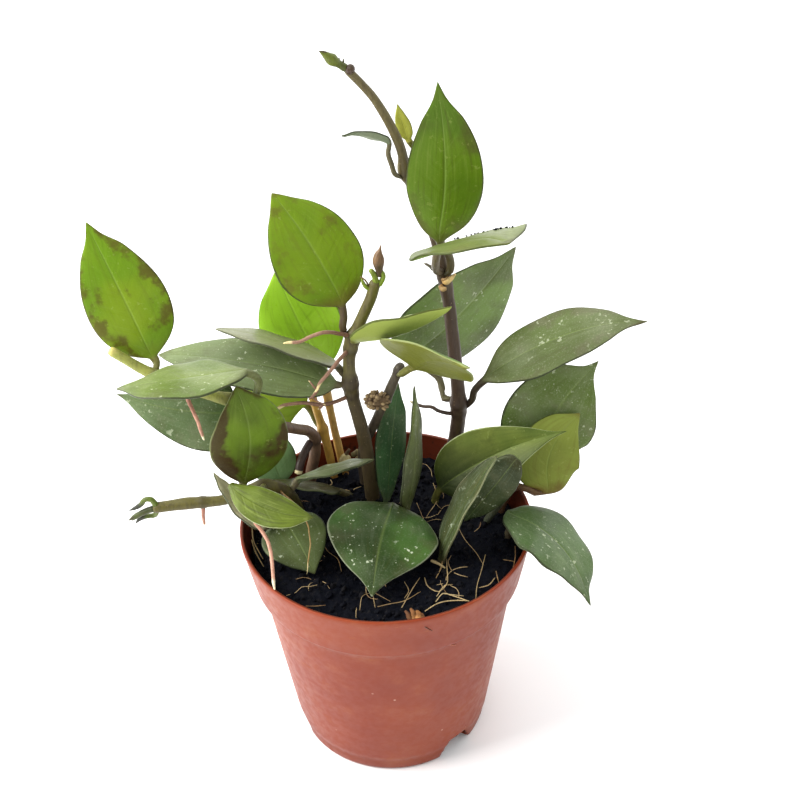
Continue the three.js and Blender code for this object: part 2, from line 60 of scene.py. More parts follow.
class Slot(Enum):
    """The record's material slots, noted on the growths."""

    SOIL = "soil"
    STEM_DARK = "stem_dark"
    STEM_GREEN = "stem_green"
    DRIED = "dried"


def shade(code: str) -> Colour:
    """The linear colour of a six-digit sRGB code."""
    parts = [int(code[i : i + 2], 16) / 255 for i in (0, 2, 4)]
    return tuple(c / 12.92 if c < 0.04045 else ((c + 0.055) / 1.055) ** 2.4 for c in parts)


def ease(low: float, high: float, value: float) -> float:
    """A smooth rise from 0 at low to 1 at high."""
    share = min(1.0, max(0.0, (value - low) / (high - low)))
    return share * share * (3 - 2 * share)


# ---- Node helpers ------------------------------------------------------------------------------


class Graph:
    """Builds one node tree, with short calls for the nodes that the finishes share."""

    def __init__(self, tree: bpy.types.NodeTree) -> None:
        """Keep the tree that the calls add to."""
        self.tree = tree

    def node(self, kind: str, **settings: object) -> bpy.types.Node:
        """Add a node of a kind and set its plain properties.

        Args:
            kind: the node's type.
            settings: its properties.

        Returns:
            The node.
        """
        made = self.tree.nodes.new(kind)
        for name, value in settings.items():
            setattr(made, name, value)
        return made

    def put(self, socket: Socket, value: object) -> None:
        """Feed a socket with another socket's output or with a plain value.

        Args:
            socket: the input to feed.
            value: another socket, a colour of three numbers, or a plain value.
        """
        if isinstance(value, bpy.types.NodeSocket):
            self.tree.links.new(value, socket)
        elif isinstance(value, tuple) and len(value) == 3 and socket.type == "RGBA":
            socket.default_value = (*value, 1.0)
        else:
            socket.default_value = value

    def math(self, operation: str, *values: object, clamp: bool = False) -> Socket:
        """A Math node over one to three values.

        Args:
            operation: what it does.
            values: its inputs.
            clamp: whether the result stays from 0 to 1.

        Returns:
            The result.
        """
        made = self.node("ShaderNodeMath", operation=operation, use_clamp=clamp)
        for socket, value in zip(made.inputs, values):
            self.put(socket, value)
        return made.outputs[0]

    def times(self, first: object, second: object) -> Socket:
        """The product of two values."""
        return self.math("MULTIPLY", first, second)

    def plus(self, first: object, second: object, clamp: bool = False) -> Socket:
        """The sum of two values."""
        return self.math("ADD", first, second, clamp=clamp)

    def swing(self, value: Socket, amount: object) -> Socket:
        """A noise value turned into a swing round zero, amount wide."""
        return self.times(self.math("SUBTRACT", value, 0.5), amount)

    def spread(self, value: Socket) -> Socket:
        """A vector with one value on all three axes.

        Args:
            value: the value.

        Returns:
            The vector.
        """
        made = self.node("ShaderNodeCombineXYZ")
        for socket in made.inputs:
            self.put(socket, value)
        return made.outputs[0]

    def mix(self, share: object, first: object, second: object) -> Socket:
        """A colour mix, from first at share 0 to second at share 1.

        Args:
            share: how much of the second colour.
            first: the first colour.
            second: the second colour.

        Returns:
            The mixed colour.
        """
        made = self.node("ShaderNodeMix", data_type="RGBA", clamp_factor=True)
        self.put(made.inputs[0], share)
        self.put(made.inputs[6], first)
        self.put(made.inputs[7], second)
        return made.outputs[2]

    def span(
        self, value: object, low: float, high: float, to_low: float = 0.0, to_high: float = 1.0
    ) -> Socket:
        """A smooth remap of low..high onto to_low..to_high.

        Args:
            value: the socket to remap.
            low: the value that gives to_low.
            high: the value that gives to_high.
            to_low: the result at low.
            to_high: the result at high.

        Returns:
            The remapped value, clamped to its ends.
        """
        made = self.node("ShaderNodeMapRange", interpolation_type="SMOOTHSTEP")
        self.put(made.inputs[0], value)
        for socket, number in zip(made.inputs[1:5], (low, high, to_low, to_high)):
            self.put(socket, number)
        return made.outputs[0]

    def noise(self, place: Socket, scale: float, detail: float = 3.0, rough: float = 0.55) -> Socket:
        """A noise value around 0.5, with scale in features per metre.

        Args:
            place: where it is read.
            scale: features per metre.
            detail: how many finer layers.
            rough: how strong the finer layers are.

        Returns:
            The value.
        """
        made = self.node("ShaderNodeTexNoise", noise_dimensions="3D")
        self.put(made.inputs["Vector"], place)
        self.put(made.inputs["Scale"], scale)
        self.put(made.inputs["Detail"], detail)
        self.put(made.inputs["Roughness"], rough)
        return made.outputs[0]

    def cells(self, place: Socket, scale: float, feature: str = "F1") -> bpy.types.Node:
        """A Voronoi node, with scale in cells per metre.

        Args:
            place: where it is read.
            scale: cells per metre.
            feature: what it measures.

        Returns:
            The node.
        """
        made = self.node("ShaderNodeTexVoronoi", feature=feature)
        self.put(made.inputs["Vector"], place)
        self.put(made.inputs["Scale"], scale)
        return made

    def value_of(self, name: str) -> Socket:
        """A float attribute of the mesh."""
        return self.node("ShaderNodeAttribute", attribute_name=name).outputs["Fac"]

    def place(self, shift: object = 0.0, stretch: tuple[float, float, float] = (1, 1, 1)) -> Socket:
        """Object coordinates in metres, moved by a shift so that pieces differ, and stretched.

        Args:
            shift: the piece's shift, a number or a vector socket.
            stretch: a factor for each axis.

        Returns:
            The place.
        """
        here = self.node("ShaderNodeTexCoord").outputs["Object"]
        moved = self.node("ShaderNodeVectorMath", operation="ADD")
        self.put(moved.inputs[0], here)
        self.put(moved.inputs[1], shift if isinstance(shift, bpy.types.NodeSocket) else (shift, shift, shift))
        if stretch == (1, 1, 1):
            return moved.outputs[0]
        scaled = self.node("ShaderNodeVectorMath", operation="MULTIPLY")
        self.put(scaled.inputs[0], moved.outputs[0])
        scaled.inputs[1].default_value = stretch
        return scaled.outputs[0]


class Group(Graph):
    """A shader node group with named inputs and outputs, built once and used by many finishes."""

    KINDS = {"float": "NodeSocketFloat", "colour": "NodeSocketColor"}

    def __init__(self, name: str, takes: dict[str, object], gives: dict[str, str]) -> None:
        """Make the group.

        Args:
            name: the group's name.
            takes: input names with their default values, a colour as three numbers.
            gives: output names with their kinds, float or colour.
        """
        tree = bpy.data.node_groups.new(name, "ShaderNodeTree")
        super().__init__(tree)
        for label, value in takes.items():
            kind = "colour" if isinstance(value, tuple) else "float"
            made = tree.interface.new_socket(label, in_out="INPUT", socket_type=self.KINDS[kind])
            made.default_value = (*value, 1.0) if isinstance(value, tuple) else value
        for label, kind in gives.items():
            tree.interface.new_socket(label, in_out="OUTPUT", socket_type=self.KINDS[kind])
        self.inputs = self.node("NodeGroupInput").outputs
        self.outputs = self.node("NodeGroupOutput").inputs

    def give(self, label: str, value: Socket) -> None:
        """Send a value out of the group."""
        self.put(self.outputs[label], value)


@dataclass(frozen=True)
class Surface:
    """What every finish sets on its shader's own sockets."""

    gloss: float = 0.5
    gloss_tint: str = "ffffff"
    bump: float = 0.4
    bump_depth: float = 0.25


def new_material(name: str) -> tuple[bpy.types.Material, Graph, bpy.types.Node]:
    """An empty material with its graph and its Principled shader.

    Args:
        name: the material's name.

    Returns:
        The material, its graph and its shader.
    """
    material = bpy.data.materials.new(name)
    material.use_nodes = True
    graph = Graph(material.node_tree)
    return material, graph, material.node_tree.nodes["Principled BSDF"]


def finish_shader(
    graph: Graph, shader: bpy.types.Node, surface: Surface, colour: object, rough: object,
    height: Socket | None,
) -> None:
    """Feed the shader.

    Args:
        graph: the material's graph.
        shader: its Principled shader.
        surface: the plain values.
        colour: the base colour.
        rough: the roughness.
        height: the relief for a bump, or None.
    """
    graph.put(shader.inputs["Base Color"], colour)
    graph.put(shader.inputs["Roughness"], rough)
    shader.inputs["Specular IOR Level"].default_value = surface.gloss
    shader.inputs["Specular Tint"].default_value = (*shade(surface.gloss_tint), 1.0)
    if height is not None:
        bump = graph.node("ShaderNodeBump")
        bump.inputs["Strength"].default_value = surface.bump
        bump.inputs["Distance"].default_value = surface.bump_depth * MM
        graph.put(bump.inputs["Height"], height)
        graph.put(shader.inputs["Normal"], bump.outputs[0])


@dataclass(frozen=True)
class SkinLook:
    """A finish made by a shader node group: every field but surface is an input of the group.

    Colours are sRGB codes, and the field pore_amount is the input Pore Amount.
    """

    GROUP = ""
    surface: Surface = Surface()

    def inputs(self) -> dict[str, object]:
        """What the look gives to the group.

        Returns:
            The values by input name, a colour as three numbers.
        """
        given = {}
        for entry in fields(self):
            value = getattr(self, entry.name)
            given[entry.name.replace("_", " ").title()] = shade(value) if isinstance(value, str) else value
        del given["Surface"]
        return given

    def wire(self, group: Group) -> None:
        """Build the group's nodes."""
        raise NotImplementedError

    def tree(self) -> bpy.types.NodeTree:
        """The group's tree, built at its first use with the plain look's values.

        Returns:
            The tree.
        """
        if self.GROUP not in bpy.data.node_groups:
            gives = {"Color": "colour", "Roughness": "float", "Height": "float"}
            self.wire(Group(self.GROUP, {**type(self)().inputs(), "Shift": 0.0}, gives))
        return bpy.data.node_groups[self.GROUP]

    def material(self, name: str, shift: float) -> bpy.types.Material:
        """Make a material with this look.

        Args:
            name: the material's name.
            shift: the piece's own pattern shift in metres.

        Returns:
            The material.
        """
        material, graph, shader = new_material(name)
        skin = graph.node("ShaderNodeGroup", node_tree=self.tree())
        for label, value in {**self.inputs(), "Shift": shift}.items():
            graph.put(skin.inputs[label], value)
        finish_shader(graph, shader, self.surface, *skin.outputs)
        return material


# ---- Mesh helpers ------------------------------------------------------------------------------


def face_outwards(body: bmesh.types.BMesh) -> None:
    """Turn the faces of one closed shell outwards.

    Args:
        body: the shell, changed in place.
    """
    body.normal_update()
    bmesh.ops.recalc_face_normals(body, faces=body.faces)
    if body.calc_volume(signed=True) < 0:
        bmesh.ops.reverse_faces(body, faces=body.faces)


def to_object(mesh_bm: bmesh.types.BMesh, name: str, smooth: bool = True) -> bpy.types.Object:
    """Turn a bmesh into a piece that rides on the plant.

    Args:
        mesh_bm: the finished bmesh, which is freed.
        name: the piece's name.
        smooth: whether its faces are shaded smooth.

    Returns:
        The new object.
    """
    mesh = bpy.data.meshes.new(name)
    for face in mesh_bm.faces:
        face.smooth = smooth
    mesh_bm.to_mesh(mesh)
    mesh_bm.free()
    piece = bpy.data.objects.new(name, mesh)
    bpy.context.scene.collection.objects.link(piece)
    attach(piece, BODY)
    return piece


def pour(source: bmesh.types.BMesh, into: bmesh.types.BMesh) -> None:
    """Add a bmesh to another one and free it.

    Args:
        source: the bmesh to add, which is freed.
        into: the one that takes it.
    """
    mesh = bpy.data.meshes.new("loose")
    source.to_mesh(mesh)
    source.free()
    into.from_mesh(mesh)
    bpy.data.meshes.remove(mesh)


def note_values(piece: bpy.types.Object, **values: np.ndarray) -> None:
    """Keep a number for each vertex as a named attribute of the mesh.

    Args:
        piece: the piece.
        values: one number for each vertex, under the attribute's name.
    """
    for name, numbers in values.items():
        attribute = piece.data.attributes.new(name, "FLOAT", "POINT")
        attribute.data.foreach_set("value", np.asarray(numbers, np.float32))


def lengths_along(points: np.ndarray) -> np.ndarray:
    """The distance of each point from the first, measured along them."""
    return np.concatenate([[0], np.cumsum(np.linalg.norm(np.diff(points, axis=0), axis=1))])


def through(
    places: np.ndarray, values: np.ndarray, tangents: np.ndarray, wanted: np.ndarray
) -> np.ndarray:
    """Cubic pieces through values at uneven places.

    Args:
        places: rising places of the values.
        values: one value or row for each place.
        tangents: the slope at each place.
        wanted: the places to read.

    Returns:
        One value or row for each wanted place.
    """
    index = np.clip(np.searchsorted(places, wanted) - 1, 0, len(places) - 2)
    start, step = places[index], np.diff(places)[index]
    column = (-1,) + (1,) * (values.ndim - 1)
    t, h = np.clip((wanted - start) / step, 0, 1).reshape(column), step.reshape(column)
    return (
        (2 * t**3 - 3 * t**2 + 1) * values[index]
        + (t**3 - 2 * t**2 + t) * h * tangents[index]
        + (-2 * t**3 + 3 * t**2) * values[index + 1]
        + (t**3 - t**2) * h * tangents[index + 1]
    )


def curve_through(places: np.ndarray, points: np.ndarray, wanted: np.ndarray) -> np.ndarray:
    """A smooth curve through points at uneven places.

    Args:
        places: rising places of the points.
        points: one row for each place.
        wanted: the places to read.

    Returns:
        One row for each wanted place.
    """
    steps = np.diff(places)
    slopes = np.diff(points, axis=0) / steps[:, None]
    tangents = np.empty_like(points)
    tangents[0], tangents[-1] = slopes[0], slopes[-1]
    before, after = steps[:-1, None], steps[1:, None]
    tangents[1:-1] = (slopes[:-1] * after + slopes[1:] * before) / (before + after)
    return through(places, points, tangents, wanted)


def rise_through(places: np.ndarray, values: np.ndarray, wanted: np.ndarray) -> np.ndarray:
    """A smooth line through values that never swings past them.

    Args:
        places: rising places of the values.
        values: one value for each place.
        wanted: the places to read.

    Returns:
        One value for each wanted place.
    """
    slopes = np.diff(values) / np.diff(places)
    product, total = slopes[:-1] * slopes[1:], slopes[:-1] + slopes[1:]
    turning = product > 0
    tangents = np.zeros_like(values)
    tangents[1:-1] = np.where(turning, 2 * slopes[:-1] * slopes[1:] / np.where(turning, total, 1), 0)
    tangents[0], tangents[-1] = slopes[0], slopes[-1]
    return through(places, values, tangents, wanted)


def neighbours(vertex: bmesh.types.BMVert) -> list[bmesh.types.BMVert]:
    """The vertices that share an edge with one."""
    return [e.other_vert(vertex) for e in vertex.link_edges]


@dataclass(frozen=True)
class Run:
    """A CAD stem, leaf or root read back as rings of points, from its root to its end."""

    node: str
    rings: np.ndarray
    start: np.ndarray
    end: np.ndarray

    @classmethod
    def read(cls, node: str) -> "Run":
        """Read a CAD node.

        Args:
            node: the node's name.

        Returns:
            Its rings in order. The blunt end comes first.
        """
        body = bmesh.new()
        body.from_mesh(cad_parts[node].data)
        bmesh.ops.remove_doubles(body, verts=body.verts, dist=0.01 * MM)
        for pole in body.verts:
            levels = cls._levels(pole)
            sides = len(pole.link_edges)
            if len(levels[-1]) == 1 and all(len(level) == sides for level in levels[1:-1]):
                break
        rings = [cls._loop(levels[1])]
        for level in levels[2:-1]:
            rings.append(cls._next_ring(rings[-1], set(level)))
        points = np.array([[v.co[:] for v in ring] for ring in rings])
        start, end = np.array(levels[0][0].co), np.array(levels[-1][0].co)
        body.free()
        from_start = np.linalg.norm(points[0].mean(0) - start)
        from_end = np.linalg.norm(points[-1].mean(0) - end)
        both_blunt = from_end < 0.05 * MM and from_start < 0.05 * MM
        if (both_blunt and start[2] > end[2]) or (not both_blunt and from_start >= from_end):
            points, start, end = points[::-1], end, start
        return cls(node, points, start, end)

    @staticmethod
    def _levels(pole: bmesh.types.BMVert) -> list[list[bmesh.types.BMVert]]:
        """The vertices by their number of edges from one of them.

        Args:
            pole: the vertex to start from.

        Returns:
            One list for each number of edges, from none.
        """
        seen, levels = {pole}, [[pole]]
        while levels[-1]:
            reached = [n for v in levels[-1] for n in neighbours(v)]
            fresh = [v for v in dict.fromkeys(reached) if v not in seen]
            seen.update(fresh)
            levels.append(fresh)
        return levels[:-1]

    @staticmethod
    def _loop(level: list[bmesh.types.BMVert]) -> list[bmesh.types.BMVert]:
        """A ring's vertices in their order round it.

        Args:
            level: the ring's vertices in any order.

        Returns:
            The vertices in order.
        """
        left, loop = set(level[1:]), [level[0]]
        while left:
            near = next(n for n in neighbours(loop[-1]) if n in left)
            loop.append(near)
            left.discard(near)
        return loop

    @staticmethod
    def _next_ring(
        ring: list[bmesh.types.BMVert], level: set[bmesh.types.BMVert]
    ) -> list[bmesh.types.BMVert]:
        """The next ring, in step with this one.

        Args:
            ring: the last ring, in order.
            level: the next ring's vertices in any order.

        Returns:
            The next ring's vertices, each beside its own in the last ring.
        """
        middle = sum((v.co for v in ring), Vector()) / len(ring)
        centre = sum((v.co for v in level), Vector()) / len(level)
        best, best_score = [], -1e9
        for first in (n for n in neighbours(ring[0]) if n in level):
            walk = [first]
            for vertex in ring[1:]:
                beside = set(neighbours(walk[-1])) & level - set(walk)
                below = set(neighbours(vertex))
                walk.append(next(iter(beside & below), None) or next(iter(beside)))
            score = sum(
                (a.co - middle).normalized().dot((b.co - centre).normalized()) for a, b in zip(ring, walk)
            )
            if score > best_score:
                best, best_score = walk, score
        return best

    def centres(self) -> np.ndarray:
        """The middle of each ring."""
        return self.rings.mean(axis=1)

    def girths(self) -> np.ndarray:
        """The mean radius of each ring."""
        return np.linalg.norm(self.rings - self.centres()[:, None], axis=2).mean(axis=1)


def tube(
    places: np.ndarray, centres: np.ndarray, radii: np.ndarray, sides: int,
    wrinkle: Callable[[float, float], float] | None = None,
) -> tuple[bmesh.types.BMesh, np.ndarray, np.ndarray]:
    """A closed round body along a line, made from a sphere's rows.

    Args:
        places: how far along each row lies, from 0 to 1.
        centres: the row middles in metres.
        radii: the row radii in metres.
        sides: how many corners a row has.
        wrinkle: radius share for a place and an angle, or None.

    Returns:
        The bmesh, and for each vertex its place and its angle.
    """
    rows = len(centres)
    body = bmesh.new()
    bmesh.ops.create_uvsphere(body, u_segments=sides, v_segments=rows + 1, radius=1)
    tangents = np.gradient(centres, axis=0)
    tangents /= np.linalg.norm(tangents, axis=1)[:, None]
    side = np.cross(tangents[0], (0.31, 0.2, 0.93))
    sides_on = []
    for tangent in tangents:
        side = side - tangent * side.dot(tangent)
        side /= np.linalg.norm(side)
        sides_on.append(side)
    along, angles = np.zeros(len(body.verts)), np.zeros(len(body.verts))
    for vertex in body.verts:
        row = round(math.acos(max(-1.0, min(1.0, vertex.co.z))) / math.pi * (rows + 1))
        angle = math.atan2(vertex.co.y, vertex.co.x)
        if row == 0 or row == rows + 1:
            end = 0 if row == 0 else rows - 1
            push = radii[end] * (-0.35 if row == 0 else 0.35)
            vertex.co = Vector(centres[end] + tangents[end] * push)
            along[vertex.index] = places[end]
            continue
        right = np.cross(tangents[row - 1], sides_on[row - 1])
        out = sides_on[row - 1] * math.cos(angle) + right * math.sin(angle)
        share = wrinkle(places[row - 1], angle) if wrinkle else 1.0
        vertex.co = Vector(centres[row - 1] + out * radii[row - 1] * share)
        along[vertex.index], angles[vertex.index] = places[row - 1], angle
    face_outwards(body)
    return body, along, angles


# ---- Leaves ------------------------------------------------------------------------------------


@dataclass(frozen=True)
class LeafLook(SkinLook):
    """The finish of one leaf, with amounts from 0 to 1."""

    GROUP = "leaf_skin"
    face: str = "55702f"
    second: str = "6d8438"
    second_amount: float = 0.6
    back: str = "8a9a58"
    stalk: str = "5a5236"
    mottle: str = "3f3a1c"
    mottle_amount: float = 0.35
    mottle_edge: float = 0.6
    mottle_scale: float = 120.0
    fleck: str = "c9cfb4"
    fleck_amount: float = 0.45
    dust: float = 0.25
    streak: float = 0.2
    # rim: a band along the margin; a pale rim colour is a painted highlight on the rounded margin, a dark one
    # a darker margin
    rim: str = "34371c"
    rim_width: float = 0.05
    rim_amount: float = 0.6
    rib: str = "7d9048"
    rib_amount: float = 0.25
    base_stain: float = 0.35
    tip_stain: float = 0.5
    rough: float = 0.42
    # painted shade: a darker colour laid over part of the blade; its three numbers are a start and a rise
    # along and across
    drift: str = "30361a"
    drift_by: tuple[float, float, float] = (-2.0, 0.0, 0.0)
    surface: Surface = Surface(gloss=0.35, gloss_tint="f4ffc4", bump=0.35, bump_depth=0.3)

    def inputs(self) -> dict[str, object]:
        """What the look gives to the group, with the three numbers of the painted shade apart.

        Returns:
            The values by input name.
        """
        given = super().inputs()
        given.update(zip(("Drift Start", "Drift Along", "Drift Across"), given.pop("Drift By")))
        return given

    def wire(self, group: Group) -> None:
        """Mottles, pale flecks, dust, veins, rim, painted shade, and the stalk's own colour.

        Args:
            group: the empty group.
        """
        take = group.inputs
        shift = group.spread(take["Shift"])
        place = group.place(shift)
        along, across, upper = (group.value_of(n) for n in ("along", "across", "upper"))
        side = group.math("ABSOLUTE", across)

        broad = group.noise(place, 45.0, 2.0)
        colour = group.mix(
            group.times(group.span(broad, 0.38, 0.66), take["Second Amount"]), take["Face"],
            take["Second"],
        )
        # Painted shade: the blade darkens towards one end or side where shade falls on it, with a noisy edge.
        drift = group.plus(group.times(along, take["Drift Along"]), group.times(across, take["Drift Across"]))
        drift = group.plus(group.plus(drift, take["Drift Start"]), group.swing(broad, 0.9), clamp=True)
        colour = group.mix(drift, colour, take["Drift"])

        flow = group.node("ShaderNodeCombineXYZ")
        group.put(flow.inputs[0], group.times(across, 7.0))
        group.put(flow.inputs[1], group.times(along, 1.6))
        group.put(flow.inputs[2], take["Shift"])
        streaks = group.noise(flow.outputs[0], 1.4, 3.0, 0.6)
        colour = group.mix(
            group.times(group.span(streaks, 0.5, 0.68), take["Streak"]), colour, take["Mottle"]
        )
        colour = group.mix(
            group.times(group.span(streaks, 0.46, 0.3), group.times(take["Streak"], 0.2)),
            colour, take["Fleck"],
        )

        blot = group.noise(place, take["Mottle Scale"], 4.0, 0.62)
        near_edge = group.span(side, 0.25, 0.95)
        lift = group.swing(near_edge, group.times(take["Mottle Edge"], 0.16))
        mottle = group.span(group.plus(blot, lift), 0.5, 0.7)
        colour = group.mix(group.times(mottle, take["Mottle Amount"]), colour, take["Mottle"])

        on_rib = group.span(side, 0.045, 0.0)
        colour = group.mix(group.times(on_rib, take["Rib Amount"]), colour, take["Rib"])

        colour = group.mix(group.span(upper, 0.12, -0.12), colour, take["Back"])

        splash = group.noise(place, 420.0, 2.0, 0.7)
        gate = group.span(group.noise(place, 70.0, 1.0), 0.4, 0.58)
        fleck = group.times(group.span(splash, 0.63, 0.7), gate)
        specks = group.cells(place, 620.0)
        spot = group.times(
            group.span(specks.outputs["Distance"], 0.16, 0.08),
            group.span(group.noise(place, 160.0, 1.0), 0.56, 0.66),
        )
        fleck = group.times(group.math("MAXIMUM", fleck, spot), take["Fleck Amount"])
        colour = group.mix(fleck, colour, take["Fleck"])

        grime = group.span(group.noise(place, 1500.0, 3.0, 0.7), 0.5, 0.8)
        film = group.span(group.noise(place, 60.0, 3.0, 0.6), 0.4, 0.75)
        dust = group.times(group.plus(group.times(grime, 0.6), group.times(film, 0.35)), take["Dust"])
        colour = group.mix(dust, colour, take["Fleck"])

        # The band along the margin: with a pale rim colour it is a painted highlight on the rounded margin.
        rim_from = group.math("SUBTRACT", 1.0, take["Rim Width"])
        ragged = group.plus(side, group.swing(group.noise(place, 300.0, 2.0), 0.05))
        over = group.math(
            "DIVIDE", group.math("SUBTRACT", ragged, rim_from), group.times(take["Rim Width"], 0.6),
            clamp=True,
        )
        colour = group.mix(group.times(over, take["Rim Amount"]), colour, take["Rim"])

        stain_noise = group.swing(blot, 0.25)
        at_base = group.span(group.plus(along, stain_noise), 0.16, 0.0)
        at_tip = group.span(group.plus(along, stain_noise), 0.93, 1.0)
        colour = group.mix(group.times(at_base, take["Base Stain"]), colour, take["Mottle"])
        colour = group.mix(group.times(at_tip, take["Tip Stain"]), colour, take["Mottle"])

        fine = group.noise(place, 900.0, 3.0, 0.6)
        stalk = group.mix(group.span(fine, 0.35, 0.7), take["Stalk"], take["Mottle"])
        colour = group.mix(group.span(along, 0.03, -0.02), colour, group.mix(0.45, take["Stalk"], stalk))
        group.give("Color", colour)

        rough = group.plus(take["Rough"], group.swing(fine, 0.18))
        rough = group.plus(rough, group.times(fleck, 0.2))
        group.give("Roughness", group.plus(rough, group.times(dust, 0.3), clamp=True))

        wave = group.math("SINE", group.times(group.math("SUBTRACT", along, group.times(side, 0.22)), 44.0))
        veins = group.times(group.span(wave, 0.55, 1.0), group.span(side, 0.95, 0.3))
        height = group.plus(group.times(group.noise(place, 700.0, 4.0, 0.6), 0.55), group.times(veins, -0.35))
        height = group.plus(height, group.times(on_rib, -1.2))
        group.give("Height", group.plus(height, group.times(group.noise(place, 180.0, 2.0), 1.6)))


YOUNG = LeafLook(
    face="5f8a12", second="7ba01f", back="7c9038", stalk="6b6a34", rim="2e3410", rim_amount=0.85,
    fleck="b4bd6c", dust=0.08, fleck_amount=0.15,
)
GREY = LeafLook(
    face="46583a", second="5c6f47", back="6d7a52", stalk="5b5240", rim="262a1e", rim_amount=0.85,
    fleck="ccd2b4", dust=0.32,
)
DARK = LeafLook(
    face="23391f", second="31502b", back="51663a", stalk="524b34", rim="151c12", rim_amount=0.85,
    fleck="c4cdb0", dust=0.2, rough=0.36,
)


@dataclass(frozen=True)
class LeafShape:
    """How a blade differs from its plain CAD body, in millimetres."""

    hook: tuple[float, float] = (0.0, 0.0)
    wave: float = 0.35
    waves: float = 2.5
    drip: float = 0.15


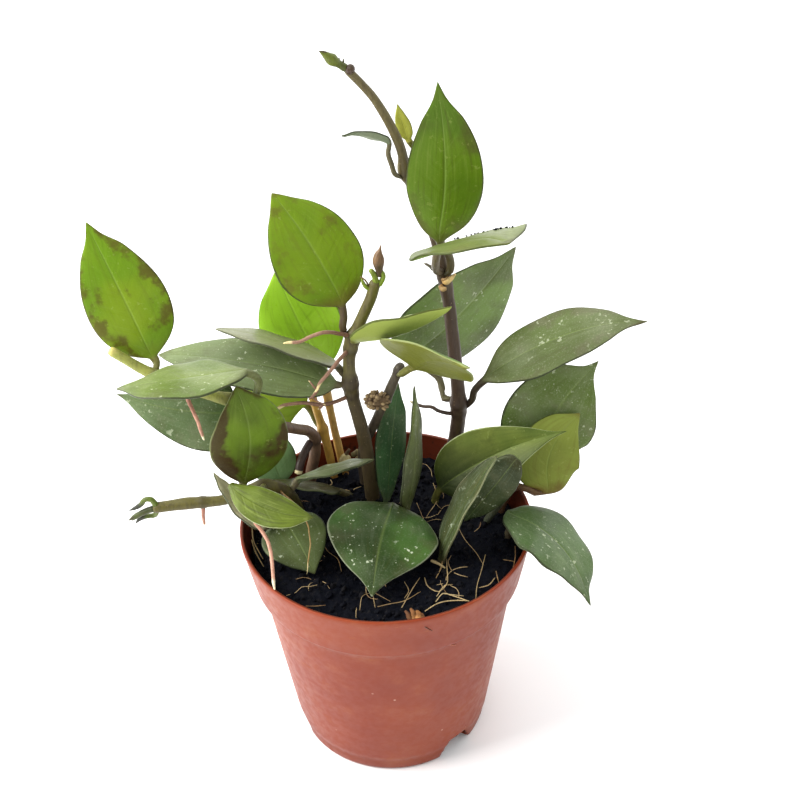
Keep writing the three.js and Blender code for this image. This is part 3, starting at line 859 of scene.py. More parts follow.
@dataclass
class Leaf:
    """One leaf with its stalk, on the rings of its CAD node."""

    node: str
    look: LeafLook
    shape: LeafShape = LeafShape()
    sunk: float = 1.4
    neck: float = 1.12
    neck_depth: float = 0.95
    point: float = 0.12
    stalk_rows: int = 14
    blade_rows: int = 46
    smoothings: int = 8
    shares: tuple[float, ...] = (1, 0.985, 0.95, 0.88, 0.78, 0.66, 0.52, 0.38, 0.24, 0.12, 0.045)
    ring_places: tuple[float, ...] = (0.03, 0.1, 0.22, 0.37, 0.53, 0.68, 0.8, 0.89, 0.95)
    facing: tuple[float, float, float] = (0.0, -0.82, 0.57)

    def _frame_lines(self, run: Run) -> dict[str, np.ndarray]:
        """The lines that the leaf is built on.

        Args:
            run: the CAD rings.

        Returns:
            The lines, and the places of their values: 0 at the blade's base and 1 at its tip.
        """
        rings = run.rings
        half = rings.shape[1] // 2
        blades = len(self.ring_places)
        widths = [np.linalg.norm(ring[:half] - ring[half:], axis=1).max() for ring in rings]
        widest = int(np.argmax(widths))
        margin = int(np.argmax(np.linalg.norm(rings[widest][:half] - rings[widest][half:], axis=1)))
        left, right = rings[:, margin], rings[:, margin + half]
        top = rings[:, (margin + half // 2) % (2 * half)]
        low = rings[:, (margin + half + half // 2) % (2 * half)]
        if (top[widest] - low[widest]).dot(self.facing) < 0:
            top, low = low, top
        middle = (top + low) / 2
        arcs = lengths_along(middle)
        first = len(rings) - blades
        length = (arcs[-1] + np.linalg.norm(run.end - middle[-1]) - arcs[first]) / (1 - self.ring_places[0])
        places = (arcs - arcs[first]) / length + self.ring_places[0]
        places[first:] = self.ring_places
        across = left - right
        across /= np.linalg.norm(across, axis=1)[:, None]
        normal = top - low
        thick = np.linalg.norm(normal, axis=1) / 2
        normal /= np.linalg.norm(normal, axis=1)[:, None]
        width = np.linalg.norm(left - right, axis=1) / 2
        lift = (((left + right) / 2 - middle) * normal).sum(axis=1)
        lines = {"middle": middle, "across": across, "normal": normal}
        lines.update(width=width, thick=thick, lift=lift)
        return self._with_ends(places, lines, run)

    def _with_ends(self, places: np.ndarray, lines: dict[str, np.ndarray], run: Run) -> dict[str, np.ndarray]:
        """The lines with a narrow neck at the blade's base and the tip added.

        Args:
            places: the place of each ring.
            lines: the lines at the rings.
            run: the CAD rings.

        Returns:
            The lines, and the places that they stand at under knots.
        """
        first = len(places) - len(self.ring_places)
        neck = lines["width"][1] * self.neck
        point = [self.point * MM]

        def grown(line: np.ndarray, joint: Sequence, tip: Sequence) -> np.ndarray:
            """A line with its values at the blade's base and at the tip added."""
            return np.concatenate([line[:first], joint, line[first:], tip])

        made = {n: grown(lines[n], lines[n][first : first + 1], lines[n][-1:]) for n in ("across", "normal")}
        joint = curve_through(places, lines["middle"], np.array([0.0]))
        made["knots"] = grown(places, [0.0], [1.0])
        made["middle"] = grown(lines["middle"], joint, [run.end])
        made["width"] = grown(lines["width"], [neck], point)
        made["thick"] = grown(lines["thick"], [neck * self.neck_depth], point)
        made["lift"] = grown(lines["lift"], [0.0], [0.0])
        return made

    def build(self, index: int) -> bpy.types.Object:
        """Build and dress the leaf.

        Args:
            index: its place in the list, which gives its pattern a shift of its own.

        Returns:
            The leaf, with along, across and upper noted on its vertices.
        """
        run = Run.read(self.node)
        lines = self._frame_lines(run)
        knots = lines["knots"]
        stalk = np.linspace(knots[0], 0.0, self.stalk_rows, endpoint=False)
        turn = np.linspace(0, math.pi, self.blade_rows)
        blade = 0.55 * (0.5 - 0.5 * np.cos(turn)) + 0.45 * np.linspace(0, 1, self.blade_rows)
        rows = np.concatenate([stalk, blade[:-1]])
        at = {n: curve_through(knots, lines[n], rows) for n in ("middle", "across", "normal")}
        at.update({n: rise_through(knots, lines[n], rows) for n in ("width", "thick", "lift")})
        for line in at.values():
            blade_part = line[self.stalk_rows + 1 :]
            for _ in range(self.smoothings):
                blade_part[1:-1] = (blade_part[:-2] + 2 * blade_part[1:-1] + blade_part[2:]) / 4
        at["across"] /= np.linalg.norm(at["across"], axis=1)[:, None]
        at["normal"] -= at["across"] * (at["normal"] * at["across"]).sum(axis=1)[:, None]
        at["normal"] /= np.linalg.norm(at["normal"], axis=1)[:, None]
        inward = at["middle"][0] - at["middle"][1]
        at["middle"][0] += inward / np.linalg.norm(inward) * self.sunk * MM
        shares = [*self.shares, 0.0, *(-s for s in reversed(self.shares))]
        ring = [(s, 1) for s in shares] + [(s, -1) for s in reversed(shares[1:-1])]
        body = bmesh.new()
        bmesh.ops.create_uvsphere(body, u_segments=len(ring), v_segments=len(rows) + 1, radius=1)
        notes = np.zeros((3, len(body.verts)))
        for vertex in body.verts:
            row = round(math.acos(max(-1.0, min(1.0, vertex.co.z))) / math.pi * (len(rows) + 1))
            step = round(math.atan2(vertex.co.y, vertex.co.x) / (2 * math.pi) * len(ring)) % len(ring)
            if row == 0:
                vertex.co, notes[0, vertex.index] = Vector(at["middle"][0]), rows[0]
                continue
            if row > len(rows):
                vertex.co, notes[0, vertex.index] = Vector(self._moved(run.end, at, -1, 1.0, 0.0)), 1.0
                continue
            share, face = ring[step]
            here = rows[row - 1]
            vertex.co = Vector(self._point(at, row - 1, here, share, face))
            height = face * math.sqrt(max(0.0, 1 - share * share))
            notes[:, vertex.index] = here, share, height
        face_outwards(body)
        piece = to_object(body, self.node.replace("leaf", "blade"))
        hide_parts(self.node)
        note_values(piece, along=notes[0], across=notes[1], upper=notes[2])
        piece.data.materials.append(self.look.material(piece.name, 0.37 * index + 0.11))
        return piece

    def _point(self, at: dict[str, np.ndarray], row: int, here: float, share: float, face: int) -> np.ndarray:
        """Where a vertex goes.

        Args:
            at: the leaf's lines at its rows.
            row: the vertex's row.
            here: the row's place, 0 at the blade's base and 1 at its tip.
            share: its place across, from -1 to 1.
            face: 1 on the upper side and -1 under it.

        Returns:
            Its place in metres.
        """
        width, thick = at["width"][row], at["thick"][row]
        width *= 1 - self.shape.drip * ease(0.78, 0.93, here)
        blade = ease(-0.02, 0.08, here) * (1 - ease(0.93, 1.0, here) * 0.6)
        keel = (math.sqrt(share * share + 0.02) - 0.1414) / (1.01 - 0.1414)
        bow = math.sqrt(max(0.0, 1 - share * share)) ** (1 - 0.42 * blade)
        groove = blade * 0.16 * MM * math.exp(-((share * width / (0.9 * MM)) ** 2))
        raised = thick * bow * face - groove * (1.0 if face > 0 else 1.8)
        point = at["middle"][row] + at["across"][row] * width * share
        point = point + at["normal"][row] * (at["lift"][row] * keel + raised)
        return self._moved(point, at, row, here, share)

    def _moved(
        self, point: np.ndarray, at: dict[str, np.ndarray], row: int, here: float, share: float
    ) -> np.ndarray:
        """The point with the blade's waves and its hooked tip added.

        Args:
            point: the place before.
            at: the leaf's lines at its rows.
            row: the vertex's row.
            here: the row's place along the blade.
            share: its place across, from -1 to 1.

        Returns:
            The new place in metres.
        """
        shape = self.shape
        blade = ease(0.0, 0.15, here)
        seed = sum(map(ord, self.node)) % 17
        ripple = math.sin(here * shape.waves * 2 * math.pi + seed + (1.3 if share > 0 else 0))
        up = shape.wave * ripple * abs(share) ** 3
        bend = ease(0.72, 1.0, here) ** 1.6
        up = up * blade * (1 - bend) + shape.hook[1] * bend
        return point + (at["normal"][row] * up + at["across"][row] * shape.hook[0] * bend) * MM


def leaf(
    name: str, base: LeafLook, shape: LeafShape = LeafShape(),
    facing: tuple[float, float, float] = Leaf.facing, **changes: object,
) -> Leaf:
    """A leaf whose finish is a common one with a few values changed.

    Args:
        name: the leaf's CAD node without leaf_ before it.
        base: the common finish.
        shape: how its blade differs from the CAD body.
        facing: a direction that its upper side faces.
        changes: the finish's own values.

    Returns:
        The leaf.
    """
    return Leaf(f"leaf_{name}", replace(base, **changes), shape, facing=facing)


def leaf_list() -> list[Leaf]:
    """Every leaf of the plant with its own finish and shape.

    Returns:
        The leaves, in building order.
    """
    # A leaf that sets a darker second colour with numbers along and across it gets painted shade over that
    # part of its blade.
    # A pale rim colour (right_wide, front_folded, front_wide, left_brown, runner_mottled, runner_front,
    # spur_forward) is a painted highlight along the margin.
    return [
        leaf("tall_upright", YOUNG, LeafShape(drip=0.3), face="425f08", second="587508", stalk="4a4030",
             mottle="3c3a10", mottle_amount=0.8, mottle_scale=60.0, streak=0.4, rim="2f3012",
             base_stain=0.7, tip_stain=0.2),
        leaf("tall_forward", YOUNG, LeafShape(hook=(0.0, -1.2), wave=0.6), face="586430", second="6a7440",
             back="4f6a20", stalk="54463a", dust=0.3),
        leaf("tall_back", GREY, LeafShape(drip=0.4), face="59673f", second="779847", fleck_amount=0.65),
        leaf("tall_right", GREY, LeafShape(drip=0.35, hook=(0.6, -0.8), wave=0.5), face="4b562e",
             second="536332", back="5c6a44", stalk="3a302a", mottle="3c2c1a", mottle_amount=0.5,
             fleck_amount=0.45),
        leaf("right_back", GREY, LeafShape(drip=0.45), face="51632e", second="55692e", fleck_amount=0.5),
        leaf("right_old", YOUNG, face="727c30", second="7e8c3a", back="7c8c3c", stalk="5d4434",
             mottle="5a3c1a", mottle_amount=0.25, base_stain=0.85),
        leaf("right_wide", YOUNG, face="485a22", second="687430", second_amount=1.0, mottle="1c2608",
             rim="a8b27e", rim_width=0.045, rim_amount=0.9, base_stain=0.3, drift="18240f",
             drift_by=(1.3, -1.9, 0.8)),
        leaf("right_hanging", DARK, face="1c2a14", second="384626", stalk="4e5444", drift="0c120a",
             drift_by=(0.9, -1.7, 0.0)),
        leaf("right_drooping", GREY, LeafShape(drip=0.5, wave=0.6, waves=3.0), face="3a5228",
             second="4c6a2e", mottle="1d1a12", fleck_amount=0.5, tip_stain=0.5),
        leaf("front_folded", DARK, face="343f20", second="4c5a2c", back="566236", streak=0.6,
             rim="8c8c6c", rim_amount=0.6, drift="10160a", drift_by=(-0.1, 0.0, -1.0)),
        leaf("front_wide", DARK, LeafShape(hook=(0, -1.0), wave=0.5), face="1f3510", second="486e2c",
             fleck_amount=0.9, rim="8f967c", rim_width=0.04, rim_amount=0.8),
        leaf("middle_dark", DARK, LeafShape(drip=0.3), face="2c4a2e", second="466c42", fleck_amount=0.35),
        leaf("middle_narrow", GREY, face="4a542c", second="6e7c40", mottle="2c2417", tip_stain=0.95,
             drift="28301e", drift_by=(-0.2, 0.0, -1.0)),
        leaf("left_small", GREY, face="525b3a", second="7c8c60", dust=0.3),
        leaf("left_brown", DARK, face="2c2b16", second="5c5a34", rim="7c805e", rim_amount=0.6),
        # left_hidden: face and second brightened past the leaf's own olive, painted light that makes up for
        # the shade it sits in.
        leaf("left_hidden", DARK, face="769660", second="86ab76"),
        leaf("left_drooping", DARK, face="394420", second="536235", dust=0.15, drift="161c10",
             drift_by=(-0.3, 0.0, -0.9)),
        leaf("runner_mottled", YOUNG, face="42560a", second="6a8c0c", mottle="35220a", mottle_amount=1.9,
             mottle_edge=0.9, mottle_scale=50.0, rim="7a8458", rim_amount=0.5, drift="3a2a10",
             drift_by=(0.5, -2.8, 0.3)),
        leaf("runner_front", YOUNG, face="485614", second="6c7e26", mottle="303216", streak=0.6,
             rim="a2aa7c", rim_amount=0.7),
        leaf("runner_grey", GREY, LeafShape(hook=(1.0, 0.5)), face="a8a27e", second="c0bc98", tip_stain=0.9),
        leaf("trailing_end", YOUNG, LeafShape(drip=0.3), face="5c7e0a", second="768b0a", stalk="6a6838",
             mottle="4c4410", mottle_amount=0.9, mottle_edge=1.0, mottle_scale=150.0, rim="42401c"),
        leaf("trailing_top", GREY, face="54662a", second="808c56", stalk="6a7048", fleck="c8cfac",
             fleck_amount=0.6, dust=0.35, rough=0.34),
        leaf("trailing_under", GREY, face="50643e", second="5e7244", rough=0.5),
        leaf("centre_long", GREY, face="6e7c54", second="84965a", fleck_amount=0.8, dust=0.3),
        leaf("centre_slim", GREY, face="70724e", second="868868", back="646a4a"),
        leaf("centre_upright", YOUNG, face="567408", second="6c860a", stalk="4b3c34", mottle="54481a",
             mottle_amount=0.6, mottle_scale=130.0, rim="2a3014", base_stain=0.8),
        leaf("centre_forward", YOUNG, face="98a650", second="a4b05c", back="98a650", dust=0.2,
             drift="7c9038", drift_by=(-0.2, 0.0, 0.8)),
        leaf("spur_forward", YOUNG, facing=(-0.2, -0.3, 1.0), face="4c6a1c", second="58781f",
             back="6a6e2a", rim="8c926a", rim_amount=0.5),
        # back_bright and back_small: their bright, saturated face and second are painted light, standing in
        # for light that shines through the leaves from behind.
        leaf("back_bright", YOUNG, face="8cba2a", second="a2ce3a", back="5c8c18", mottle_amount=0.05,
             dust=0.05, rim="4a7a14", base_stain=0.1, rough=0.3),
        leaf("back_small", YOUNG, face="7e9e26", second="a4b83e", back="86ac28", mottle_amount=0.05,
             dust=0.05, rim="4a7a1a", base_stain=0.1),
        leaf("tip_new", YOUNG, LeafShape(wave=0.1), face="868c2a", second="c0be58", mottle="5a3a1c",
             mottle_amount=0.4),
        leaf("tip_small", GREY, LeafShape(wave=0.1, hook=(0, -0.5)), facing=(-0.2, -0.3, 1.0),
             face="5c6450", second="76806a", back="66705a"),
    ]


@dataclass
class Foliage:
    """All leaves, each with its own finish."""

    leaves: list[Leaf] = field(default_factory=leaf_list)

    def build(self) -> list[bpy.types.Object]:
        """Build and dress every leaf."""
        return [leaf.build(index) for index, leaf in enumerate(self.leaves)]


# ---- Stems and roots ---------------------------------------------------------------------------


@dataclass(frozen=True)
class BarkLook(SkinLook):
    """The finish of a stem or a root, from its lower to its upper end."""

    GROUP = "bark_skin"
    low: str = "4a3b2c"
    high: str = "6a6535"
    turn: float = 0.5
    joint: str = "2e2118"
    joint_amount: float = 0.5
    pore: str = "a08a68"
    pore_amount: float = 0.35
    end: str = "c9bd7a"
    end_from: float = 1.5
    tone: str = "7a5a40"
    rough: float = 0.5
    surface: Surface = Surface(gloss=0.35, bump=0.5, bump_depth=0.25)

    def wire(self, group: Group) -> None:
        """A colour that changes along it, darker joints, lengthwise lines and pores.

        Args:
            group: the empty group.
        """
        take = group.inputs
        shift = group.spread(take["Shift"])
        place = group.place(shift)
        along, joint = group.value_of("along"), group.value_of("joint")
        soft = group.noise(place, 120.0, 3.0)
        turn = group.plus(group.math("SUBTRACT", along, take["Turn"]), group.swing(soft, 0.7))
        colour = group.mix(group.span(turn, -0.15, 0.15), take["Low"], take["High"])
        colour = group.mix(group.value_of("tone"), colour, take["Tone"])
        lines = group.noise(group.place(shift, (1, 1, 0.22)), 900.0, 3.0, 0.65)
        colour = group.mix(group.times(group.span(lines, 0.42, 0.7), 0.4), colour, take["Joint"])
        colour = group.mix(group.times(joint, take["Joint Amount"]), colour, take["Joint"])
        pores = group.span(group.cells(place, 700.0).outputs["Distance"], 0.2, 0.1)
        gate = group.span(group.noise(place, 200.0, 1.0), 0.5, 0.65)
        colour = group.mix(group.times(group.times(pores, gate), take["Pore Amount"]), colour, take["Pore"])
        ended = group.plus(along, group.swing(soft, 0.06))
        past = group.math("DIVIDE", group.math("SUBTRACT", ended, take["End From"]), 0.03, clamp=True)
        colour = group.mix(past, colour, take["End"])
        group.give("Color", colour)
        group.give("Roughness", group.plus(take["Rough"], group.swing(lines, 0.3), clamp=True))
        group.give("Height", group.plus(group.times(lines, 1.0), group.times(soft, 0.8)))


@dataclass
class Stem:
    """One stem on the rings of its CAD node, with ridged joints where leaves and roots sit."""

    node: str
    look: BarkLook
    ridge: float = 0.35
    sides: int = 22
    step: float = 0.9
    wobble: float = 0.05
    seat_reach: float = 1.2
    joint_reach: float = 1.5
    end_narrowing: float = 0.82

    def build(self, index: int, seats: np.ndarray) -> bpy.types.Object:
        """Build and dress the stem.

        Args:
            index: its place in the list, which gives its pattern a shift of its own.
            seats: the points where leaves and roots start, in metres.

        Returns:
            The stem, with along and joint noted on its vertices.
        """
        run = Run.read(self.node)
        centres, girths = run.centres(), run.girths()
        girths[0], girths[-1] = girths[1], girths[-2]
        arcs = lengths_along(centres)
        rows = max(12, int(arcs[-1] / (self.step * MM)))
        wanted = np.linspace(0, arcs[-1], rows)
        line, radii = curve_through(arcs, centres, wanted), rise_through(arcs, girths, wanted)
        radii[-1] *= self.end_narrowing
        joints = np.zeros(rows)
        for seat in seats:
            away = np.linalg.norm(line - seat, axis=1)
            row = int(np.argmin(away))
            if away[row] < radii[row] + self.seat_reach * MM:
                off = (wanted - wanted[row]) / (self.joint_reach * MM)
                joints = np.maximum(joints, np.exp(-(off**2)))
        radii = radii + joints * self.ridge * MM
        seed = sum(map(ord, self.node)) % 23

        def wrinkle(place: float, angle: float) -> float:
            """Small swellings round and along the stem."""
            spot = Vector((math.cos(angle) * 0.9, math.sin(angle) * 0.9, place * arcs[-1] / (6 * MM) + seed))
            return 1 + self.wobble * noise.noise(spot)

        body, along, _ = tube(wanted / arcs[-1], line, radii, self.sides, wrinkle)
        piece = to_object(body, self.node.replace("stem", "vine").replace("shoot", "sprout"))
        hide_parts(self.node)
        at = np.clip(np.round(along * (rows - 1)).astype(int), 0, rows - 1)
        note_values(piece, along=along, joint=joints[at])
        piece.data.materials.append(self.look.material(piece.name, 0.29 * index + 0.05))
        return piece


def stem_list() -> list[Stem]:
    """Every stem and shoot with its own finish.

    Returns:
        The stems, in building order.
    """
    return [
        Stem("stem_tall", BarkLook(low="46362a", high="5e5430", turn=0.72, pore_amount=0.5)),
        Stem("stem_centre", BarkLook(low="4c412a", high="605a30", turn=0.75, joint="2c2018")),
        Stem("stem_spur", BarkLook(low="443a2e", high="4c4436", turn=0.6, joint="241b18")),
        Stem("shoot_back_left",
             BarkLook(low="a47636", high="be9444", turn=0.4, joint="5a3a1c", joint_amount=0.3)),
        Stem("shoot_back_right", BarkLook(low="a0783c", high="c09a56", joint="5a3a1c", joint_amount=0.3)),
        Stem("stem_trailing", BarkLook(low="6e5644", high="909444", turn=0.62, end="d8c878", end_from=0.975)),
        Stem("stem_runner", BarkLook(low="3e3a18", high="58521f", turn=0.5)),
    ]


@dataclass
class Stems:
    """The stems and shoots of the plant."""

    stems: list[Stem] = field(default_factory=stem_list)

    def build(self) -> list[bpy.types.Object]:
        """Build and dress every stem, with joints where the other pieces sit.

        Returns:
            The stems.
        """
        riders = [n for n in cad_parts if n.startswith(("leaf_", "aerial_", "flower", "dried", "cut"))]
        seats = np.array([Run.read(n).start for n in riders])
        return [stem.build(index, seats) for index, stem in enumerate(self.stems)]


@dataclass
class Root:
    """One aerial root: a thin wavering thread with a pale growing tip and side roots."""

    node: str
    look: BarkLook
    forks: tuple[tuple[float, tuple[float, float, float]], ...] = ()
    lean: tuple[float, float, float] = (0.0, 0.0, 0.0)
    slim: float = 1.0
    sides: int = 10
    step: float = 0.5
    waver: float = 0.45
    sunk: float = 0.9
    taper: float = 0.25
    rough: float = 0.14
    fork_rows: int = 14
    fork_sag: float = 0.4

    def build(self, index: int) -> bpy.types.Object:
        """Build and dress the root with its side roots as one piece.

        Args:
            index: its place in the list, which gives its pattern a shift of its own.

        Returns:
            The root, with along noted on its vertices.
        """
        run = Run.read(self.node)
        centres, girths = run.centres(), run.girths()
        centres = np.concatenate([centres, [run.end]])
        girths = np.concatenate([girths[1:2], girths[1:], girths[-1:] * 0.5])
        arcs = lengths_along(centres)
        wanted = np.linspace(0, arcs[-1], max(14, int(arcs[-1] / (self.step * MM))))
        line = curve_through(arcs, centres, wanted)
        seed = sum(map(ord, self.node))
        for row, place in enumerate(wanted / arcs[-1]):
            shift = noise.noise_vector(Vector((place * arcs[-1] / (5 * MM), seed * 0.37, 0)))
            line[row] += np.array(shift) * self.waver * MM * ease(0, 0.2, place)
            line[row] += np.array(self.lean) * MM * ease(0, 0.3, place) * (1.6 - 0.6 * place)
        inward = line[0] - line[1]
        line[0] += inward / np.linalg.norm(inward) * self.sunk * MM
        radii = rise_through(arcs, girths, wanted)
        radii *= np.array([self.slim * (1.0 - self.taper * p) for p in wanted / arcs[-1]])

        def wrinkle(place: float, angle: float) -> float:
            """Small swellings round and along the root."""
            return 1 + self.rough * noise.noise(Vector((angle, place * 40, seed)))

        body, along, _ = tube(wanted / arcs[-1], line, radii, self.sides, wrinkle)
        notes = list(along)
        sag = np.array((0, 0, -self.fork_sag)) * MM
        steps = np.linspace(0, 1, self.fork_rows)
        for start, reach in self.forks:
            row = int(start * (len(line) - 1))
            path = np.array([line[row] + np.array(reach) * MM * t + sag * math.sin(5 * t) for t in steps])
            girth = np.linspace(0.75, 0.4, self.fork_rows) * radii[row]
            side, side_along, _ = tube(np.linspace(0.3, 1, self.fork_rows), path, girth, 8)
            pour(side, body)
            notes.extend(side_along)
        piece = to_object(body, self.node.replace("aerial_root", "air_root"))
        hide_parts(self.node)
        note_values(piece, along=np.array(notes), joint=np.zeros(len(notes)))
        piece.data.materials.append(self.look.material(piece.name, 0.13 * index + 0.13))
        return piece


def root_list() -> list[Root]:
    """Every aerial root with its own finish and forks.

    Returns:
        The roots, in building order.
    """
    brown = BarkLook(
        low="7a5a46", high="94705a", end="dcc890", end_from=0.88, pore_amount=0.2, joint="5a4034"
    )
    pink = replace(brown, low="a87460", high="cc9880", end="f0e2c0")
    return [
        Root("aerial_root_1", brown),
        Root("aerial_root_2", brown, forks=((0.8, (-2.8, 0.0, 3.2)), (0.95, (4.2, 0.4, -4.4)))),
        Root("aerial_root_3", brown, forks=((0.3, (-1.6, 0.0, -2.4)),)),
        Root("aerial_root_4", pink),
        Root("aerial_root_5", pink),
        Root("aerial_root_6", pink, lean=(5.5, -1.5, 6.0)),
        Root("aerial_root_7", replace(brown, low="8a6a3c", high="ac8c54"), lean=(2.6, 0.0, -1.0), slim=0.55),
        Root("aerial_root_8", replace(brown, low="40342a", high="5a4a3c")),
        Root("aerial_root_9", replace(brown, low="6a6456", high="8a8474", end="a8a294")),
    ]


@dataclass
class Roots:
    """The aerial roots."""

    roots: list[Root] = field(default_factory=root_list)

    def build(self) -> list[bpy.types.Object]:
        """Build and dress every root."""
        return [root.build(index) for index, root in enumerate(self.roots)]


# ---- Small growths -----------------------------------------------------------------------------


@dataclass(frozen=True)
class Strand:
    """A round growth along a few points in millimetres, with its radius at each of them."""

    points: tuple[tuple[float, float, float], ...]
    radii: tuple[float, ...]
    tone: float = 0.0
    sides: int = 10
    rows: int = 18
    rough: float = 0.1

    def build(self) -> tuple[bmesh.types.BMesh, np.ndarray]:
        """Build it.

        Returns:
            The closed body, and how far along it each vertex lies.
        """
        points = np.array(self.points) * MM
        arcs = lengths_along(points)
        wanted = np.linspace(0, arcs[-1], self.rows)
        line = curve_through(arcs, points, wanted)
        radii = rise_through(arcs, np.array(self.radii) * MM, wanted)
        seed = float(np.abs(points).sum()) * 900

        def wrinkle(place: float, angle: float) -> float:
            """Small swellings round and along the strand."""
            spot = Vector((math.cos(angle), math.sin(angle), place * self.rows * 0.4 + seed))
            return 1 + self.rough * noise.noise(spot)

        body, along, _ = tube(wanted / arcs[-1], line, radii, self.sides, wrinkle)
        return body, along


def bundle(
    name: str, strands: Sequence[Strand], look: BarkLook, shift: float,
    node: str | None = None,
) -> bpy.types.Object:
    """Join strands into one dressed piece.

    Args:
        name: the piece's name.
        strands: the strands.
        look: its finish.
        shift: its own pattern shift in metres.
        node: the CAD node that it replaces, or None.

    Returns:
        The piece, with along and tone noted on its vertices.
    """
    whole = bmesh.new()
    notes, tones = [], []
    for strand in strands:
        body, along = strand.build()
        pour(body, whole)
        notes.extend(along)
        tones.extend([strand.tone] * len(along))
    piece = to_object(whole, name)
    note_values(piece, along=np.array(notes), tone=np.array(tones))
    if node:
        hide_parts(node)
    piece.data.materials.append(look.material(name, shift))
    return piece


@dataclass
class Growth:
    """A bud, spur, stub or shoot tip in place of its plain CAD body."""

    name: str
    node: str | None
    slot: Slot
    look: BarkLook
    strands: tuple[Strand, ...]

    def build(self, index: int) -> bpy.types.Object:
        """Build and dress it, with a pattern shift that no other growth has."""
        return bundle(self.name, self.strands, self.look, 0.17 * index + 0.03, self.node)


def nubs(
    middle: tuple[float, float, float], spread: tuple[float, float, float], count: int, size: float,
    seed: int,
) -> tuple[Strand, ...]:
    """Many short nubs that stand out from a lump.

    Args:
        middle: the lump's middle in millimetres.
        spread: its half sizes.
        count: how many nubs.
        size: the length of a nub.
        seed: what their places come from.

    Returns:
        The lump and its nubs.
    """
    rng = random.Random(seed)
    centre = Vector(middle)
    half = Vector((spread[0] * 0.7, 0, 0))
    lump = (tuple(centre - half), tuple(centre), tuple(centre + half))
    made = [Strand(lump, (spread[2] * 0.5, spread[2] * 0.75, spread[2] * 0.5), 0.75)]
    for _ in range(count):
        out = Vector((rng.gauss(0, 1), rng.gauss(0, 1), rng.gauss(0.25, 1))).normalized()
        foot = centre + Vector(o * s * 0.62 for o, s in zip(out, spread))
        lean = Vector((rng.uniform(-0.5, 0.5), rng.uniform(-0.5, 0.5), 0.25))
        head = foot + (out + lean).normalized() * size * rng.uniform(0.7, 1.25)
        girth = size * rng.uniform(0.24, 0.36)
        points = (tuple(foot), tuple((foot + head) / 2), tuple(head))
        made.append(Strand(points, (girth * 0.8, girth * 1.1, girth * 0.75), rng.random() * 0.7, 6, 7))
    return tuple(made)


